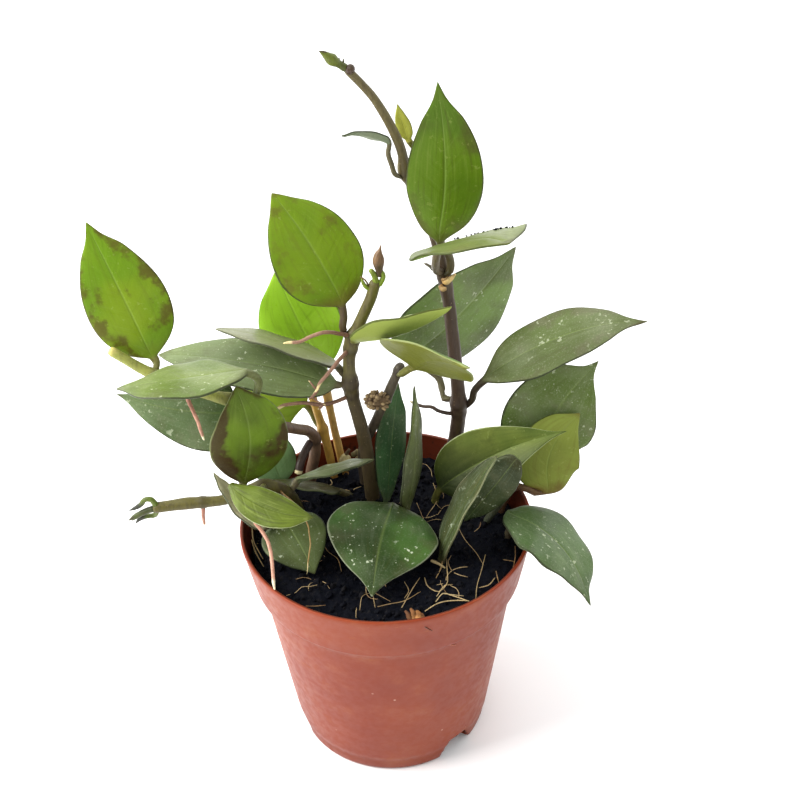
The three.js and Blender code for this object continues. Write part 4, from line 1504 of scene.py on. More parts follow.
def growth_list() -> list[Growth]:
    """The buds, spurs, stubs and shoot tips.

    Returns:
        The growths, in building order.
    """
    purple = BarkLook(low="534232", high="765a3c", turn=0.35, rough=0.45, pore_amount=0.1, tone="7c9130")
    green = BarkLook(
        low="4c5414", high="5e681a", turn=0.4, joint="3b3a1c", rough=0.42, pore_amount=0.1, tone="3f2a20"
    )
    tan = BarkLook(low="705838", high="9e8862", turn=0.35, rough=0.85, pore_amount=0.0, tone="4a3524")
    cream = BarkLook(low="b08a50", high="dcbc80", turn=0.4, rough=0.7, pore_amount=0.1, tone="8a6a42")
    dark_tip = BarkLook(low="5a6a22", high="2c3022", rough=0.45, pore_amount=0.1, tone="6c8030")
    stump = replace(purple, low="32221e", high="3a2a24", end="d9cb9a", end_from=0.9)
    return [
        Growth("bud_middle", "bud_centre", Slot.STEM_DARK, purple, (
            Strand(((0.5, 20, 182.0), (0.6, 20, 184.4), (0.5, 20, 187.8), (0.8, 20, 190.6),
                    (1.2, 20, 192.0), (1.4, 20, 193.4)),
                   (0.9, 1.35, 2.05, 1.2, 0.5, 0.18), sides=14),
            Strand(((0.4, 20, 178.8), (1.5, 20, 180.4), (1.9, 20, 182.4), (1.2, 20, 183.8)),
                   (1.1, 0.9, 0.85, 0.8), 1.0),
            Strand(((-0.6, 19.8, 179.0), (-0.8, 19.6, 181.6), (-1.6, 19.4, 183.8), (-2.3, 19.3, 184.8)),
                   (1.15, 1.0, 0.95, 0.75), 0.9),
            Strand(((-2.2, 19.8, 177.2), (-3.7, 19.5, 178.1), (-4.9, 19.3, 180.2), (-5.2, 19.2, 181.6)),
                   (0.9, 0.75, 0.6, 0.3), 0.95),
            Strand(((-3.1, 19.4, 178.8), (-3.8, 19.2, 180.6), (-4.7, 19.0, 181.8), (-5.7, 19.0, 182.5)),
                   (0.35, 0.3, 0.28, 0.12), 0.0, 6, 10),
            Strand(((-2.6, 20, 178.2), (-1.6, 19.8, 179.2), (-0.8, 19.8, 180.3)), (0.5, 0.5, 0.35), 0.1,
                   6, 8),
        )),
        Growth("bud_top", "bud_tall", Slot.STEM_GREEN, green, (
            Strand(((-6.2, 6, 257.6), (-8.5, 5.3, 259.4), (-10.3, 4.6, 260.9), (-12, 3.7, 262.6),
                    (-13.4, 3, 263.8)),
                   (1.15, 1.15, 1.75, 1.05, 0.25), sides=14),
            Strand(((-9.3, 5.0, 260.9), (-10.6, 4.4, 262.2), (-12.2, 3.4, 263.5), (-13.8, 2.8, 264.1)),
                   (0.35, 0.45, 0.4, 0.15), 0.75),
            Strand(((-9.6, 4.6, 259.2), (-11.2, 3.8, 260.4), (-12.6, 3.1, 262.4)), (0.4, 0.45, 0.2), 0.3),
            Strand(((-8.2, 5.6, 259.7), (-8.3, 5.4, 261.1)), (0.42, 0.14), 0.5, 6, 6),
            Strand(((-7.2, 5.9, 259.1), (-7.1, 5.6, 260.8)), (0.42, 0.14), 0.55, 6, 6),
            Strand(((-6.2, 5.6, 256.9), (-5.2, 5.4, 257.7), (-4.2, 5.6, 257.5)), (1.1, 1.55, 0.9), 0.95),
        )),
        Growth("spur_scars", "flower_spur", Slot.DRIED, tan,
               nubs((-1.9, 15.6, 134.6), (4.3, 3.2, 3.1), 52, 2.0, 5)),
        Growth("stub_tall", "dried_stub", Slot.DRIED, cream, (
            Strand(((22.4, 21.6, 178.4), (22.8, 20.2, 178.9), (24.4, 19.5, 180.6), (25.8, 19, 182.4)),
                   (1.0, 1.05, 0.85, 0.3)),
            Strand(((20.9, 21.2, 177.0), (21.6, 20.2, 176.3), (22.8, 19.8, 176.6)), (0.8, 0.95, 0.6), 0.7),
            Strand(((21.6, 20.9, 179.4), (22.6, 20.0, 180.0), (23.4, 19.8, 181.2)), (0.6, 0.55, 0.25), 0.85),
        )),
        Growth("runner_bud", "bud_runner", Slot.STEM_GREEN, replace(green, low="323a0e", high="404a12"), (
            Strand(((-82, -2, 103.2), (-84.6, -2, 102.2), (-87, -2, 101.0), (-89.4, -2, 99.5),
                    (-91, -2, 98.4)),
                   (1.25, 1.2, 1.15, 1.0, 0.45)),
            Strand(((-89.2, -2.5, 100.2), (-90.6, -2.6, 99.2), (-91.6, -2.6, 98.4)), (0.4, 0.4, 0.15),
                   0.4, 6, 8),
            Strand(((-89.0, -1.8, 98.8), (-90.0, -1.6, 98.0), (-90.7, -1.6, 97.6)), (0.4, 0.35, 0.15),
                   0.2, 6, 8),
        )),
        Growth("runner_leaf_upper", "sprout_upper", Slot.STEM_GREEN, dark_tip, (
            Strand(((-81.2, -2, 105.0), (-82.5, -2, 107.3), (-84.6, -2, 107.3), (-86.2, -2, 105.3),
                    (-88.4, -2, 103.7), (-90.9, -2, 102.5)),
                   (1.15, 1.0, 0.9, 0.95, 0.75, 0.15), rows=26),
        )),
        Growth("runner_leaf_lower", "sprout_lower", Slot.STEM_GREEN, dark_tip, (
            Strand(((-81.2, -1.2, 101.6), (-82.6, -0.6, 98.9), (-84.6, -0.5, 98.5), (-86.4, -0.5, 98.2),
                    (-88.6, -0.5, 96.8), (-89.8, -0.5, 95.3)),
                   (1.15, 0.95, 0.9, 0.95, 0.7, 0.15), rows=26),
        )),
        Growth("branch_stub", "cut_branch", Slot.STEM_DARK, stump, (
            Strand(((-27.6, 28.2, 107.8), (-29.2, 24.6, 106.6), (-31, 20.4, 104.4), (-32, 18, 101.2)),
                   (1.5, 1.55, 1.6, 1.45), rows=24),
        )),
        Growth("old_knob", None, Slot.DRIED, replace(tan, low="8d8a5a", high="b5a877"), (
            Strand(((-14.6, 33.4, 90.2), (-14.8, 33.2, 92.6), (-15.2, 33, 95.4), (-15.6, 33, 97.6)),
                   (1.2, 2.3, 2.4, 0.9), sides=14),
            Strand(((-15.0, 33.4, 97.0), (-14.2, 33.4, 98.6), (-13.4, 33.6, 99.8)), (0.8, 0.7, 0.5), 0.9,
                   6, 8),
            Strand(((-12.6, 34.6, 96.2), (-11.2, 34.6, 97.0), (-10.2, 34.8, 98.4)), (1.0, 1.1, 0.6), 0.6,
                   8, 10),
            Strand(((-11.4, 34.2, 92.0), (-10.6, 34.0, 94.2), (-10.0, 34.0, 96.0)), (0.9, 1.2, 0.5), 0.0,
                   8, 10),
        )),
    ]


@dataclass
class Growths:
    """The buds, spurs, stubs and shoot tips, each with its own finish."""

    growths: list[Growth] = field(default_factory=growth_list)

    def build(self) -> list[bpy.types.Object]:
        """Build and dress every growth."""
        return [growth.build(index) for index, growth in enumerate(self.growths)]


# ---- Pot ---------------------------------------------------------------------------------------


@dataclass(frozen=True)
class PotLook:
    """Satin terracotta plastic with faint scuffs, pale specks, a little dirt, and painted shade inside and at
    its foot.
    """

    face: str = "782a14"
    second: str = "833417"
    # painted shade for the inner wall and the foot band
    inside: str = "481d11"
    scuff: str = "9c6643"
    speck: str = "c8a892"
    dirt: str = "2a1812"
    rough: float = 0.42
    surface: Surface = Surface(gloss=0.32, gloss_tint="ffe4d4", bump=0.05, bump_depth=0.15)

    def material(self) -> bpy.types.Material:
        """Make the pot's material.

        Returns:
            The material.
        """
        material, graph, shader = new_material("pot_plastic")
        place = graph.place()
        broad = graph.noise(place, 22.0, 3.0)
        colour = graph.mix(graph.span(broad, 0.35, 0.65), shade(self.face), shade(self.second))
        rings = graph.noise(graph.place(0.0, (1, 1, 9)), 60.0, 3.0)
        colour = graph.mix(graph.span(rings, 0.5, 0.75, 0.0, 0.25), colour, shade(self.second))
        scratch = graph.noise(graph.place(0.3, (1.0, 0.5, 5.0)), 190.0, 3.0, 0.7)
        patch = graph.span(graph.noise(place, 45.0, 1.0), 0.5, 0.62)
        scuff = graph.times(graph.span(scratch, 0.6, 0.72), patch)
        colour = graph.mix(graph.times(scuff, 0.4), colour, shade(self.scuff))
        cells = graph.cells(place, 160.0)
        speck = graph.times(
            graph.span(cells.outputs["Distance"], 0.1, 0.05),
            graph.span(graph.noise(place, 38.0, 1.0), 0.54, 0.6),
        )
        colour = graph.mix(graph.times(speck, 0.75), colour, shade(self.speck))
        dust = graph.span(graph.noise(place, 90.0, 4.0, 0.7), 0.5, 0.8, 0.0, 0.22)
        colour = graph.mix(dust, colour, shade(self.scuff))
        # Painted shade: the inner wall and the recessed foot band are darkened where shade falls.
        inner = graph.value_of("inner")
        low = graph.value_of("foot")
        colour = graph.mix(graph.times(low, 0.12), colour, shade(self.inside))
        colour = graph.mix(graph.times(inner, 0.8), colour, shade(self.inside))
        grime = graph.times(graph.span(graph.noise(place, 260.0, 4.0, 0.7), 0.55, 0.72), inner)
        colour = graph.mix(grime, colour, shade(self.dirt))
        rough = graph.plus(
            graph.span(graph.noise(place, 350.0, 3.0), 0.3, 0.7, self.rough - 0.06, self.rough + 0.08),
            graph.times(scuff, 0.2),
        )
        height = graph.plus(graph.noise(place, 900.0, 2.0), graph.times(rings, 2.0))
        finish_shader(graph, shader, self.surface, colour, rough, height)
        return material


@dataclass
class Pot:
    """The tapered nursery pot: a thin shell with a straight band at its rim and notches at its foot."""

    height: float = 94.0
    rim: float = 52.5
    base: float = 37.0
    band_foot: float = 49.5
    under_band: float = 46.8
    band: float = 19.0
    wall: float = 1.3
    steps: int = 180
    notches: tuple[float, ...] = (-160.0, -49.5, 75.0)
    notch_width: float = 15.0
    notch_height: float = 9.0
    notch_from: float = 33.0
    lip: float = 0.4
    look: PotLook = PotLook()

    def _profile(self) -> list[tuple[float, float]]:
        """The outer side from the middle of the underside to the rim, as radius and height.

        Returns:
            The corners in millimetres.
        """
        step = self.height - self.band

        def body(z: float) -> float:
            """The body's radius at a height."""
            return self.base + (self.under_band - self.base) * (z - 0.8) / (step - 2.8)

        foot = [(body(z) - 0.3, z) for z in (1.6, 3.2, 4.8, 6.4)]
        wall = [(body(z), z) for z in (7.4, 9.0, 10.5, 24, 40, 56, 70)]
        under, band, rim, top = self.under_band, self.band_foot, self.rim, self.height
        floor = [(0.0, 1.0), (20, 1.0), (31.5, 1.0), (33, 0), (self.base - 1.2, 0), (self.base - 0.5, 0.6)]
        step_out = [(under, step - 2), (under + 0.7, step - 1.35), (band - 0.7, step - 0.55)]
        side = [(band - 0.15, step - 0.1), (band, step + 0.6), (band + 1.3, step + 8), (rim - 0.3, top - 2.4)]
        return [*floor, *foot, *wall, *step_out, *side, (rim, top - 1.2), (rim, top)]

    def build(self) -> list[bpy.types.Object]:
        """Build and dress the pot.

        Returns:
            The pot alone, with its inner side and its foot noted on its vertices for the painted shade.
        """
        body = bmesh.new()
        chain = [body.verts.new((r * MM, 0, z * MM)) for r, z in self._profile()]
        for first, second in zip(chain, chain[1:]):
            body.edges.new((first, second))
        bmesh.ops.spin(
            body, geom=body.verts[:] + body.edges[:], cent=(0, 0, 0), axis=(0, 0, 1), angle=2 * math.pi,
            steps=self.steps, use_merge=True, use_duplicate=False,
        )
        bmesh.ops.remove_doubles(body, verts=body.verts, dist=0.01 * MM)
        self._cut_notches(body)
        bmesh.ops.recalc_face_normals(body, faces=body.faces)
        side = max(body.faces, key=lambda f: f.calc_center_median().xy.length)
        if side.normal.xy.dot(side.calc_center_median().xy) < 0:
            bmesh.ops.reverse_faces(body, faces=body.faces)
        outer = set(body.verts)
        bmesh.ops.solidify(body, geom=body.faces[:], thickness=self.wall * MM)
        inner = {v for v in body.verts if v not in outer}
        corners = [e for e in body.edges if e.is_manifold and e.calc_face_angle(0) > 0.6]
        lip = [e for e in corners if all(v.co.z > (self.height - 0.3) * MM for v in e.verts)]
        bmesh.ops.bevel(
            body, geom=lip, offset=self.lip * MM, segments=3, profile=0.5, affect="EDGES", material=-1
        )
        # Inner-wall marks for the painted shade; the foot band gets its own marks below.
        shade_marks = [float(v in inner or self._inside(v)) for v in body.verts]
        foot = [1.0 - ease(6.2, 7.6, v.co.z / MM) for v in body.verts]
        piece = to_object(body, "nursery_pot")
        note_values(piece, inner=np.array(shade_marks), foot=np.array(foot))
        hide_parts("pot")
        piece.data.materials.append(self.look.material())
        return [piece]

    def _inside(self, vertex: bmesh.types.BMVert) -> bool:
        """Whether a vertex lies on the inner half of the wall, just under the rim."""
        inward = vertex.normal.xy.dot(vertex.co.xy) < 0
        return inward and 2 * MM < vertex.co.z < self.height * MM

    def in_front(self, height: float, x: float) -> tuple[float, float, float]:
        """A place just off the front of the pot's outer side.

        Args:
            height: its height in millimetres.
            x: how far right it is.

        Returns:
            The place in millimetres.
        """
        step = self.height - self.band
        if height > step:
            radius = self.band_foot + (self.rim - self.band_foot) * (height - step) / self.band
        else:
            radius = self.base + (self.under_band - self.base) * height / (step - 2)
        return x, -math.sqrt((radius + 0.12) ** 2 - x * x), height

    def _cut_notches(self, body: bmesh.types.BMesh) -> None:
        """Take the notches out of the foot and round their corners.

        Args:
            body: the pot's outer side, changed in place.
        """
        gone = []
        for face in body.faces:
            middle = face.calc_center_median() / MM
            if middle.z > self.notch_height or middle.xy.length < self.notch_from:
                continue
            half = self.notch_width / 2 * (1 - 0.5 * middle.z / self.notch_height)
            angle = math.degrees(math.atan2(middle.y, middle.x))
            if any(abs((angle - n + 180) % 360 - 180) < math.degrees(half / self.base) for n in self.notches):
                gone.append(face)
        edge = {v for f in gone for v in f.verts}
        bmesh.ops.delete(body, geom=gone, context="FACES")
        rest = [v for v in edge if v.is_valid and v.is_boundary]
        for _ in range(3):
            bmesh.ops.smooth_vert(
                body, verts=rest, factor=0.5, use_axis_x=True, use_axis_y=True, use_axis_z=True
            )


# ---- Soil --------------------------------------------------------------------------------------


@dataclass(frozen=True)
class PeatLook:
    """Moist near-black peat, with browner crumbs."""

    face: str = "04060f"
    brown: str = "1e1c1c"
    pale: str = "5c4d3c"
    surface: Surface = Surface(gloss=0.1, bump=0.8, bump_depth=0.5)

    def material(self, name: str) -> bpy.types.Material:
        """Make the peat's material.

        Args:
            name: the material's name.

        Returns:
            The material.
        """
        material, graph, shader = new_material(name)
        place = graph.place()
        grain = graph.noise(place, 420.0, 5.0, 0.75)
        colour = graph.mix(graph.span(grain, 0.5, 0.72), shade(self.face), shade(self.brown))
        colour = graph.mix(graph.times(graph.value_of("tone"), 0.8), colour, shade(self.brown))
        fine = graph.noise(graph.place(0.2, (1, 0.4, 1)), 1500.0, 3.0, 0.7)
        chips = graph.times(
            graph.span(fine, 0.66, 0.74), graph.span(graph.noise(place, 150.0, 2.0), 0.52, 0.64)
        )
        colour = graph.mix(graph.times(chips, 0.6), colour, shade(self.pale))
        rough = graph.span(grain, 0.3, 0.7, 0.62, 0.98)
        height = graph.plus(graph.times(grain, 1.2), graph.times(fine, 0.5))
        finish_shader(graph, shader, self.surface, colour, rough, height)
        return material


def add_crumb(
    body: bmesh.types.BMesh, rng: random.Random, place: Vector, size: float, flat: tuple[float, float],
    thin: tuple[float, float],
) -> int:
    """Add a squashed crumb that is turned at random.

    Args:
        body: what it is added to.
        rng: the random draws.
        place: its middle in metres.
        size: its radius in metres.
        flat: the range of its second half size, as a share of the first.
        thin: the range of its third half size.

    Returns:
        How many vertices it has.
    """
    turn = Euler([rng.uniform(0, math.pi) for _ in range(3)]).to_matrix().to_4x4()
    squash = Matrix.Diagonal((1.0, rng.uniform(*flat), rng.uniform(*thin), 1.0))
    matrix = Matrix.Translation(place) @ turn @ squash
    return len(bmesh.ops.create_icosphere(body, subdivisions=1, radius=size, matrix=matrix)["verts"])


@dataclass
class Soil:
    """The peat, its crumbs, and the fine roots that lie on it."""

    radius: float = 48.6
    level: float = 85.2
    skirt: float = 66.0
    cells: int = 150
    crumbs: int = 950
    crumb_sizes: tuple[float, ...] = (0.5, 0.65, 0.8, 1.1, 1.5)
    hairs: int = 34
    foot_share: float = 0.925
    look: PeatLook = PeatLook()

    def height_at(self, x: float, y: float) -> float:
        """The peat's height in millimetres at a place.

        Args:
            x: across, in millimetres.
            y: in depth, in millimetres.

        Returns:
            The height.
        """
        lumps = 1 - noise.voronoi(Vector((x / 3.4, y / 3.4, 0.3)))[0][0]
        broad = noise.noise(Vector((x / 17, y / 17, 4.0)))
        grit = noise.noise(Vector((x / 1.3, y / 1.3, 9.0)))
        dip = ease(40, 48, math.hypot(x, y))
        return self.level + 0.9 * broad + 1.1 * lumps + 0.45 * grit - 0.9 * dip

    def build(self) -> list[bpy.types.Object]:
        """Build and dress the peat, the crumbs and the fine roots."""
        return [self._peat(), self._crumbs(), self._loose_roots(), self._placed_roots()]

    def _peat(self) -> bpy.types.Object:
        """The closed body of the peat, a square grid drawn out to a round one.

        Returns:
            The peat.
        """
        body = bmesh.new()
        bmesh.ops.create_grid(body, x_segments=self.cells, y_segments=self.cells, size=1)
        for vertex in body.verts:
            u, v = vertex.co.x, vertex.co.y
            x = u * math.sqrt(1 - v * v / 2) * self.radius
            y = v * math.sqrt(1 - u * u / 2) * self.radius
            vertex.co = Vector((x, y, self.height_at(x, y))) * MM
        rim = [e for e in body.edges if e.is_boundary]
        made = bmesh.ops.extrude_edge_only(body, edges=rim)["geom"]
        low = [v for v in made if isinstance(v, bmesh.types.BMVert)]
        for vertex in low:
            x, y, _ = (value * self.foot_share for value in vertex.co)
            vertex.co = Vector((x, y, self.skirt * MM))
        bmesh.ops.holes_fill(body, edges=[e for e in body.edges if e.is_boundary], sides=0)
        face_outwards(body)
        piece = to_object(body, "peat")
        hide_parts("soil")
        piece.data.materials.append(self.look.material("peat"))
        return piece

    def _spot(self, rng: random.Random, reach: float) -> tuple[float, float]:
        """A random place on the peat."""
        angle, out = rng.uniform(0, 2 * math.pi), reach * math.sqrt(rng.random())
        return out * math.cos(angle), out * math.sin(angle)

    def _crumbs(self) -> bpy.types.Object:
        """Loose crumbs on the peat.

        Returns:
            The crumbs as one piece.
        """
        rng = random.Random(3)
        body = bmesh.new()
        tones = []
        for _ in range(self.crumbs):
            x, y = self._spot(rng, self.radius - 1.2)
            size = rng.choice(self.crumb_sizes) * rng.uniform(0.8, 1.2)
            place = Vector((x, y, self.height_at(x, y) + size * 0.25)) * MM
            count = add_crumb(body, rng, place, size * MM, (0.55, 0.9), (0.45, 0.8))
            tones.extend([rng.random() ** 2.5] * count)
        for vertex in body.verts:
            vertex.co += Vector(noise.noise_vector(vertex.co / (0.7 * MM))) * 0.16 * MM
        piece = to_object(body, "peat_crumbs", smooth=False)
        note_values(piece, tone=np.array(tones))
        piece.data.materials.append(self.look.material("peat_crumbs"))
        return piece

    def _loose_roots(self) -> bpy.types.Object:
        """Fine dead roots scattered over the peat.

        Returns:
            The roots as one piece.
        """
        rng = random.Random(11)
        strands = []
        for _ in range(self.hairs):
            x, y = self._spot(rng, self.radius - 4)
            heading, length = rng.uniform(0, 2 * math.pi), rng.uniform(4, 15)
            curl = rng.uniform(-0.5, 0.5)
            points = []
            for _ in range(6):
                lift = rng.uniform(0.1, 1.1)
                points.append((x, y, self.height_at(x, y) + lift))
                x, y = x + math.cos(heading) * length / 5, y + math.sin(heading) * length / 5
                heading += curl + rng.uniform(-0.25, 0.25)
                if math.hypot(x, y) > self.radius - 1.5:
                    heading += math.pi / 2
                    x, y = x * 0.96, y * 0.96
            girth = rng.uniform(0.1, 0.2)
            radii = (girth, girth, girth, girth, girth, girth * 0.5)
            strands.append(Strand(tuple(points), radii, rng.random(), 4, 12, 0.2))
        look = BarkLook(low="7a5a3c", high="a58a62", rough=0.8, pore_amount=0.0, tone="c9b080")
        return bundle("fine_roots", strands, look, 0.4)

    def _on(self, path: Sequence[tuple[float, float, float]], girth: float, tone: float) -> Strand:
        """A strand over the peat, through places with their height above it."""
        points = tuple((x, y, self.height_at(x, y) + lift) for x, y, lift in path)
        return Strand(points, tuple([girth * 0.72] * (len(points) - 1) + [girth * 0.4]), tone, 6, 22, 0.25)

    def _placed_roots(self) -> bpy.types.Object:
        """The larger roots and the cream stubs on the peat.

        Returns:
            The roots as one piece.
        """
        strands = [
            self._on(((22, 1, 9), (22, -7, 5), (20, -14, 2.5), (19, -19, 1), (17, -24, 0.6)), 0.34, 0.35),
            self._on(((25, 3, 3), (28, -5, 1.5), (32, -13, 1), (34, -18, 0.6)), 0.17, 0.5),
            self._on(((35, -13, 1.2), (33, -21, 1), (31, -28, 0.8), (30, -35, 1.2)), 0.2, 0.65),
            self._on(((15.6, -16.4, 2.2), (18, -17.6, 1.4), (20.4, -19.4, 0.8)), 0.75, 1.0),
            self._on(((35.5, 11, 1.0), (38.8, 11.4, 1.6), (42.2, 12, 2.4)), 0.7, 1.0),
            self._on(((18, 24, 4), (19.4, 19, 2.4), (15, 9, 1)), 0.26, 0.6),
            self._on(((11.5, 15, 1.4), (14, 6, 1)), 0.18, 0.3),
            self._on(((46, -9, 2), (45.4, -15, 1.4), (44, -21, 1.8)), 0.26, 0.1),
            self._on(((41, -16, 1.2), (45, -17.4, 1.8)), 0.2, 0.2),
            self._on(((37.4, -24.6, 1.2), (35, -28, 1), (31.6, -29.4, 0.8)), 0.26, 0.7),
            self._on(((38, -22, 1.4), (38.4, -28, 2.8)), 0.24, 0.15),
            self._on(((12.6, -39.4, 0.8), (17, -37, 1.4), (24, -36, 1.8), (27.6, -37, 2.4)), 0.28, 0.8),
            self._on(((16.4, -35.6, 0.8), (19.2, -33, 1.6), (22, -34, 1.9), (27.6, -37.4, 2.8)), 0.26, 0.85),
            self._on(((19, -33, 1.6), (26, -33.8, 1.2)), 0.24, 0.9),
            self._on(((13, -23.6, 1), (14, -28, 0.8), (18, -31, 0.8), (20.4, -28.8, 1.2), (21, -24, 1.6),
                      (21, -19.6, 1.2), (21.2, -15, 1)),
                     0.26, 0.6),
            self._on(((16.8, -33.2, 0.8), (20, -29, 1.2), (22.6, -27.6, 0.8)), 0.24, 0.75),
            self._on(((-3.4, -37.2, 0.9), (0.8, -36.4, 1.4), (5, -35.6, 1.4), (11.4, -30.6, 0.8)), 0.22, 0.3),
            self._on(((4.8, -38, 0.8), (9, -29.4, 2.0), (11.4, -24, 0.8)), 0.24, 0.5),
            self._on(((6, -25, 1), (7.2, -31, 1.2), (5.8, -33.4, 0.8)), 0.22, 0.45),
            self._on(((-5, -31, 1), (-4.2, -38, 1.2)), 0.2, 0.6),
            self._on(((-4, -31, 1.6), (1, -35, 1)), 0.2, 0.3),
            self._on(((-9.4, -38.4, 0.8), (-8.4, -33, 2), (-5, -30, 1)), 0.18, 0.5),
            self._on(((-24, -3, 5), (-21, -10.6, 2.4), (-17.4, -14, 1.4), (-16, -19, 0.8)), 0.26, 0.3),
            self._on(((-27.6, -36.6, 1.6), (-24.6, -36.8, 1.4), (-21, -36, 1)), 0.22, 0.1),
            self._on(((-48.6, 2, 6), (-48, -4, 4), (-44, -12, 1.4)), 0.3, 0.5),
            self._on(((-48.4, -5, 4.4), (-47, -9, 2.6), (-43.6, -15.4, 0.8)), 0.36, 0.7),
            Strand(((-2.6, 13.4, 86.6), (-1.8, 10.6, 88.2), (0.4, 9.8, 88.2)), (0.9, 1.2, 0.7), 1.0),
        ]
        look = BarkLook(low="70502e", high="946f42", rough=0.75, pore_amount=0.1, tone="cbb482")
        return bundle("roots_on_peat", strands, look, 0.7)


@dataclass
class LeafGrit:
    """Crumbs of peat that lie along the upper edge of one leaf."""

    node: str = "leaf_tall_forward"
    count: int = 26
    look: PeatLook = PeatLook()

    def build(self) -> list[bpy.types.Object]:
        """Build and dress the crumbs.

        Returns:
            The crumbs as one piece, alone in a list.
        """
        rings = Run.read(self.node).rings[-9:]
        crest = [Vector(ring[int(np.argmax(ring[:, 2]))]) for ring in rings]
        rng = random.Random(12)
        body = bmesh.new()
        for _ in range(self.count):
            place = rng.uniform(0.3, 4.8)
            size = rng.uniform(0.24, 0.5) * MM
            lift = Vector((0, 0, size * 0.5 + 0.25 * MM))
            spot = crest[int(place)].lerp(crest[int(place) + 1], place % 1) + lift
            add_crumb(body, rng, spot, size, (0.6, 0.9), (0.5, 0.8))
        piece = to_object(body, "leaf_grit")
        note_values(piece, tone=np.zeros(len(piece.data.vertices)))
        piece.data.materials.append(self.look.material("leaf_grit"))
        return [piece]


@dataclass
class RimBits:
    """The bit of bark stuck on the front rim and the two fibres on the pot below it."""

    bark: tuple[float, float, float] = (9.4, -49.2, 91.8)
    pot: Pot = field(default_factory=Pot)

    def _lump(
        self, offsets: tuple[tuple[float, float, float], ...], radii: tuple[float, ...], tone: float,
        sides: int = 7,
    ) -> Strand:
        """A lump of bark through places that are measured from the bark's middle."""
        points = tuple(tuple(m + o for m, o in zip(self.bark, offset)) for offset in offsets)
        return Strand(points, radii, tone, sides, 10, 0.5)

    def build(self) -> list[bpy.types.Object]:
        """Build and dress them.

        Returns:
            The bark and the fibres.
        """
        lumps = (
            self._lump(((-3.4, 3.0, 1.4), (-2.4, 1.6, 0.6), (-1.2, -0.6, -0.8)), (0.5, 0.9, 0.5), 0.75),
            self._lump(((-1.6, 3.2, 2.2), (-0.8, 1.4, 1.2), (-0.4, -0.4, -0.6)), (0.5, 0.85, 0.6), 0.35),
            self._lump(((0.2, 2.6, 1.6), (0.9, 0.8, 0.8), (0.8, -1.0, -0.4)), (0.6, 1.15, 0.8), 0.0, 8),
            self._lump(((1.6, 2.2, 0.8), (2.4, 0.8, 0.0), (2.2, -0.8, -1.0)), (0.5, 0.9, 0.5), 0.5),
        )
        look = BarkLook(low="8a5a2c", high="b07c44", rough=0.8, pore="e3cf9a", pore_amount=0.5, tone="4a2a18")
        bark = bundle("bark_bit", lumps, look, 0.9)
        x, y, z = self.bark
        at = self.pot.in_front
        threads = (
            Strand(((x + 1.2, y - 0.6, z), at(89.6, 12.4), at(86.8, 14.6)), (0.22, 0.2, 0.12), 0.9, 5, 14,
                   0.2),
            Strand((at(74.2, 17.4), at(72.4, 20.2), at(70.4, 23.0)), (0.14, 0.16, 0.1), 0.0, 5, 14, 0.2),
        )
        look = BarkLook(low="d9a58c", high="c48a70", rough=0.7, pore_amount=0.0, tone="4a2216")
        return [bark, bundle("pot_fibres", threads, look, 1.1)]


# ---- Studio ------------------------------------------------------------------------------------


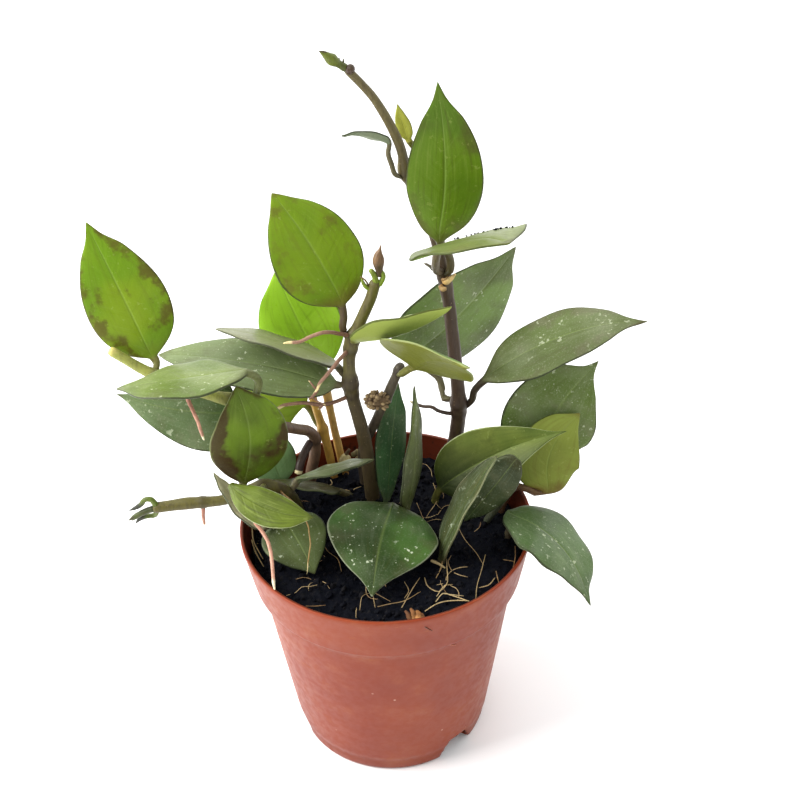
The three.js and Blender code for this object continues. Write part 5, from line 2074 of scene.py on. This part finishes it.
@dataclass
class Studio:
    """Pale floor, soft light and the camera."""

    aim: tuple[float, float, float] = (5.3, 0.0, 146.8)
    distance: float = 402.0
    elevation: float = 34.9
    roll: float = -1.7
    lens: float = 54.4
    sensor: float = 36.0
    floor_size: float = 6.0
    front_light: float = 0.6
    back_light: float = 1.95
    key_power: float = 26.0
    fill_power: float = 2.6

    def build(self) -> None:
        """Build the floor, the lights and the camera."""
        self._floor()
        self._lights()
        self._camera()

    def _floor(self) -> None:
        """A wide plain floor just under the pot."""
        body = bmesh.new()
        bmesh.ops.create_grid(body, x_segments=2, y_segments=2, size=self.floor_size / 2)
        mesh = bpy.data.meshes.new("floor")
        body.to_mesh(mesh)
        body.free()
        floor = bpy.data.objects.new("floor", mesh)
        bpy.context.scene.collection.objects.link(floor)
        floor.location.z = -0.0002
        material, graph, shader = new_material("floor_paint")
        colour = graph.mix(
            graph.span(graph.noise(graph.place(), 3.0), 0.3, 0.7), shade("fafaf8"), shade("fdfdfc")
        )
        finish_shader(graph, shader, Surface(gloss=0.1), colour, 0.9, None)
        mesh.materials.append(material)

    def _lights(self) -> None:
        """A pale surrounding, brighter behind the plant, and two soft panels."""
        world = bpy.data.worlds.new("studio")
        bpy.context.scene.world = world
        world.use_nodes = True
        graph = Graph(world.node_tree)
        back = world.node_tree.nodes["Background"]
        split = graph.node("ShaderNodeSeparateXYZ")
        graph.put(split.inputs[0], graph.node("ShaderNodeTexCoord").outputs["Generated"])
        graph.put(back.inputs[0], shade("fdfdff"))
        glow = graph.span(split.outputs[1], -0.9, 0.9, self.front_light, self.back_light)
        backdrop = graph.node("ShaderNodeLightPath").outputs["Is Camera Ray"]
        graph.put(back.inputs[1], graph.math("MAXIMUM", glow, backdrop))
        self._panel("key", (-1.0, -0.1, 0.85), 0.9, self.key_power)
        self._panel("fill", (0.1, -1.1, 1.1), 1.2, self.fill_power)

    def _panel(self, name: str, place: tuple[float, float, float], size: float, power: float) -> None:
        """A square light panel at a place in metres, turned towards the plant.

        Args:
            name: the light's name.
            place: where it stands, in metres.
            size: its side in metres.
            power: its power in watts.
        """
        light = bpy.data.lights.new(name, "AREA")
        light.shape, light.size, light.energy = "SQUARE", size, power
        lamp = bpy.data.objects.new(name, light)
        bpy.context.scene.collection.objects.link(lamp)
        lamp.location = place
        lamp.rotation_euler = (Vector((0, 0, 0.12)) - Vector(place)).to_track_quat("-Z", "Y").to_euler()

    def _camera(self) -> None:
        """The camera, looking down on the plant from the front."""
        data = bpy.data.cameras.new("camera")
        data.lens, data.sensor_width, data.dof.use_dof = self.lens, self.sensor, False
        data.clip_start, data.clip_end = 0.01, 20
        camera = bpy.data.objects.new("camera", data)
        bpy.context.scene.collection.objects.link(camera)
        tilt = math.radians(self.elevation)
        back = Vector((0, -math.cos(tilt), math.sin(tilt)))
        camera.location = (Vector(self.aim) + back * self.distance) * MM
        pitch = Matrix.Rotation(math.radians(90 - self.elevation), 4, "X")
        camera.rotation_euler = (pitch @ Matrix.Rotation(math.radians(self.roll), 4, "Z")).to_euler()
        bpy.context.scene.camera = camera
        bpy.context.scene.view_settings.view_transform = "Standard"


def main() -> None:
    """Build every sub-assembly in order and report it."""
    logging.basicConfig(level=logging.INFO, format="%(name)s: %(message)s")
    noise.seed_set(NOISE_SEED)
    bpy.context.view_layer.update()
    Studio().build()
    for part in (Soil(), RimBits(), Stems(), Foliage(), LeafGrit(), Growths(), Pot(), Roots()):
        for piece in part.build():
            log.info("%s: %d faces", piece.name, len(piece.data.polygons))


if __name__ == "__main__":
    main()
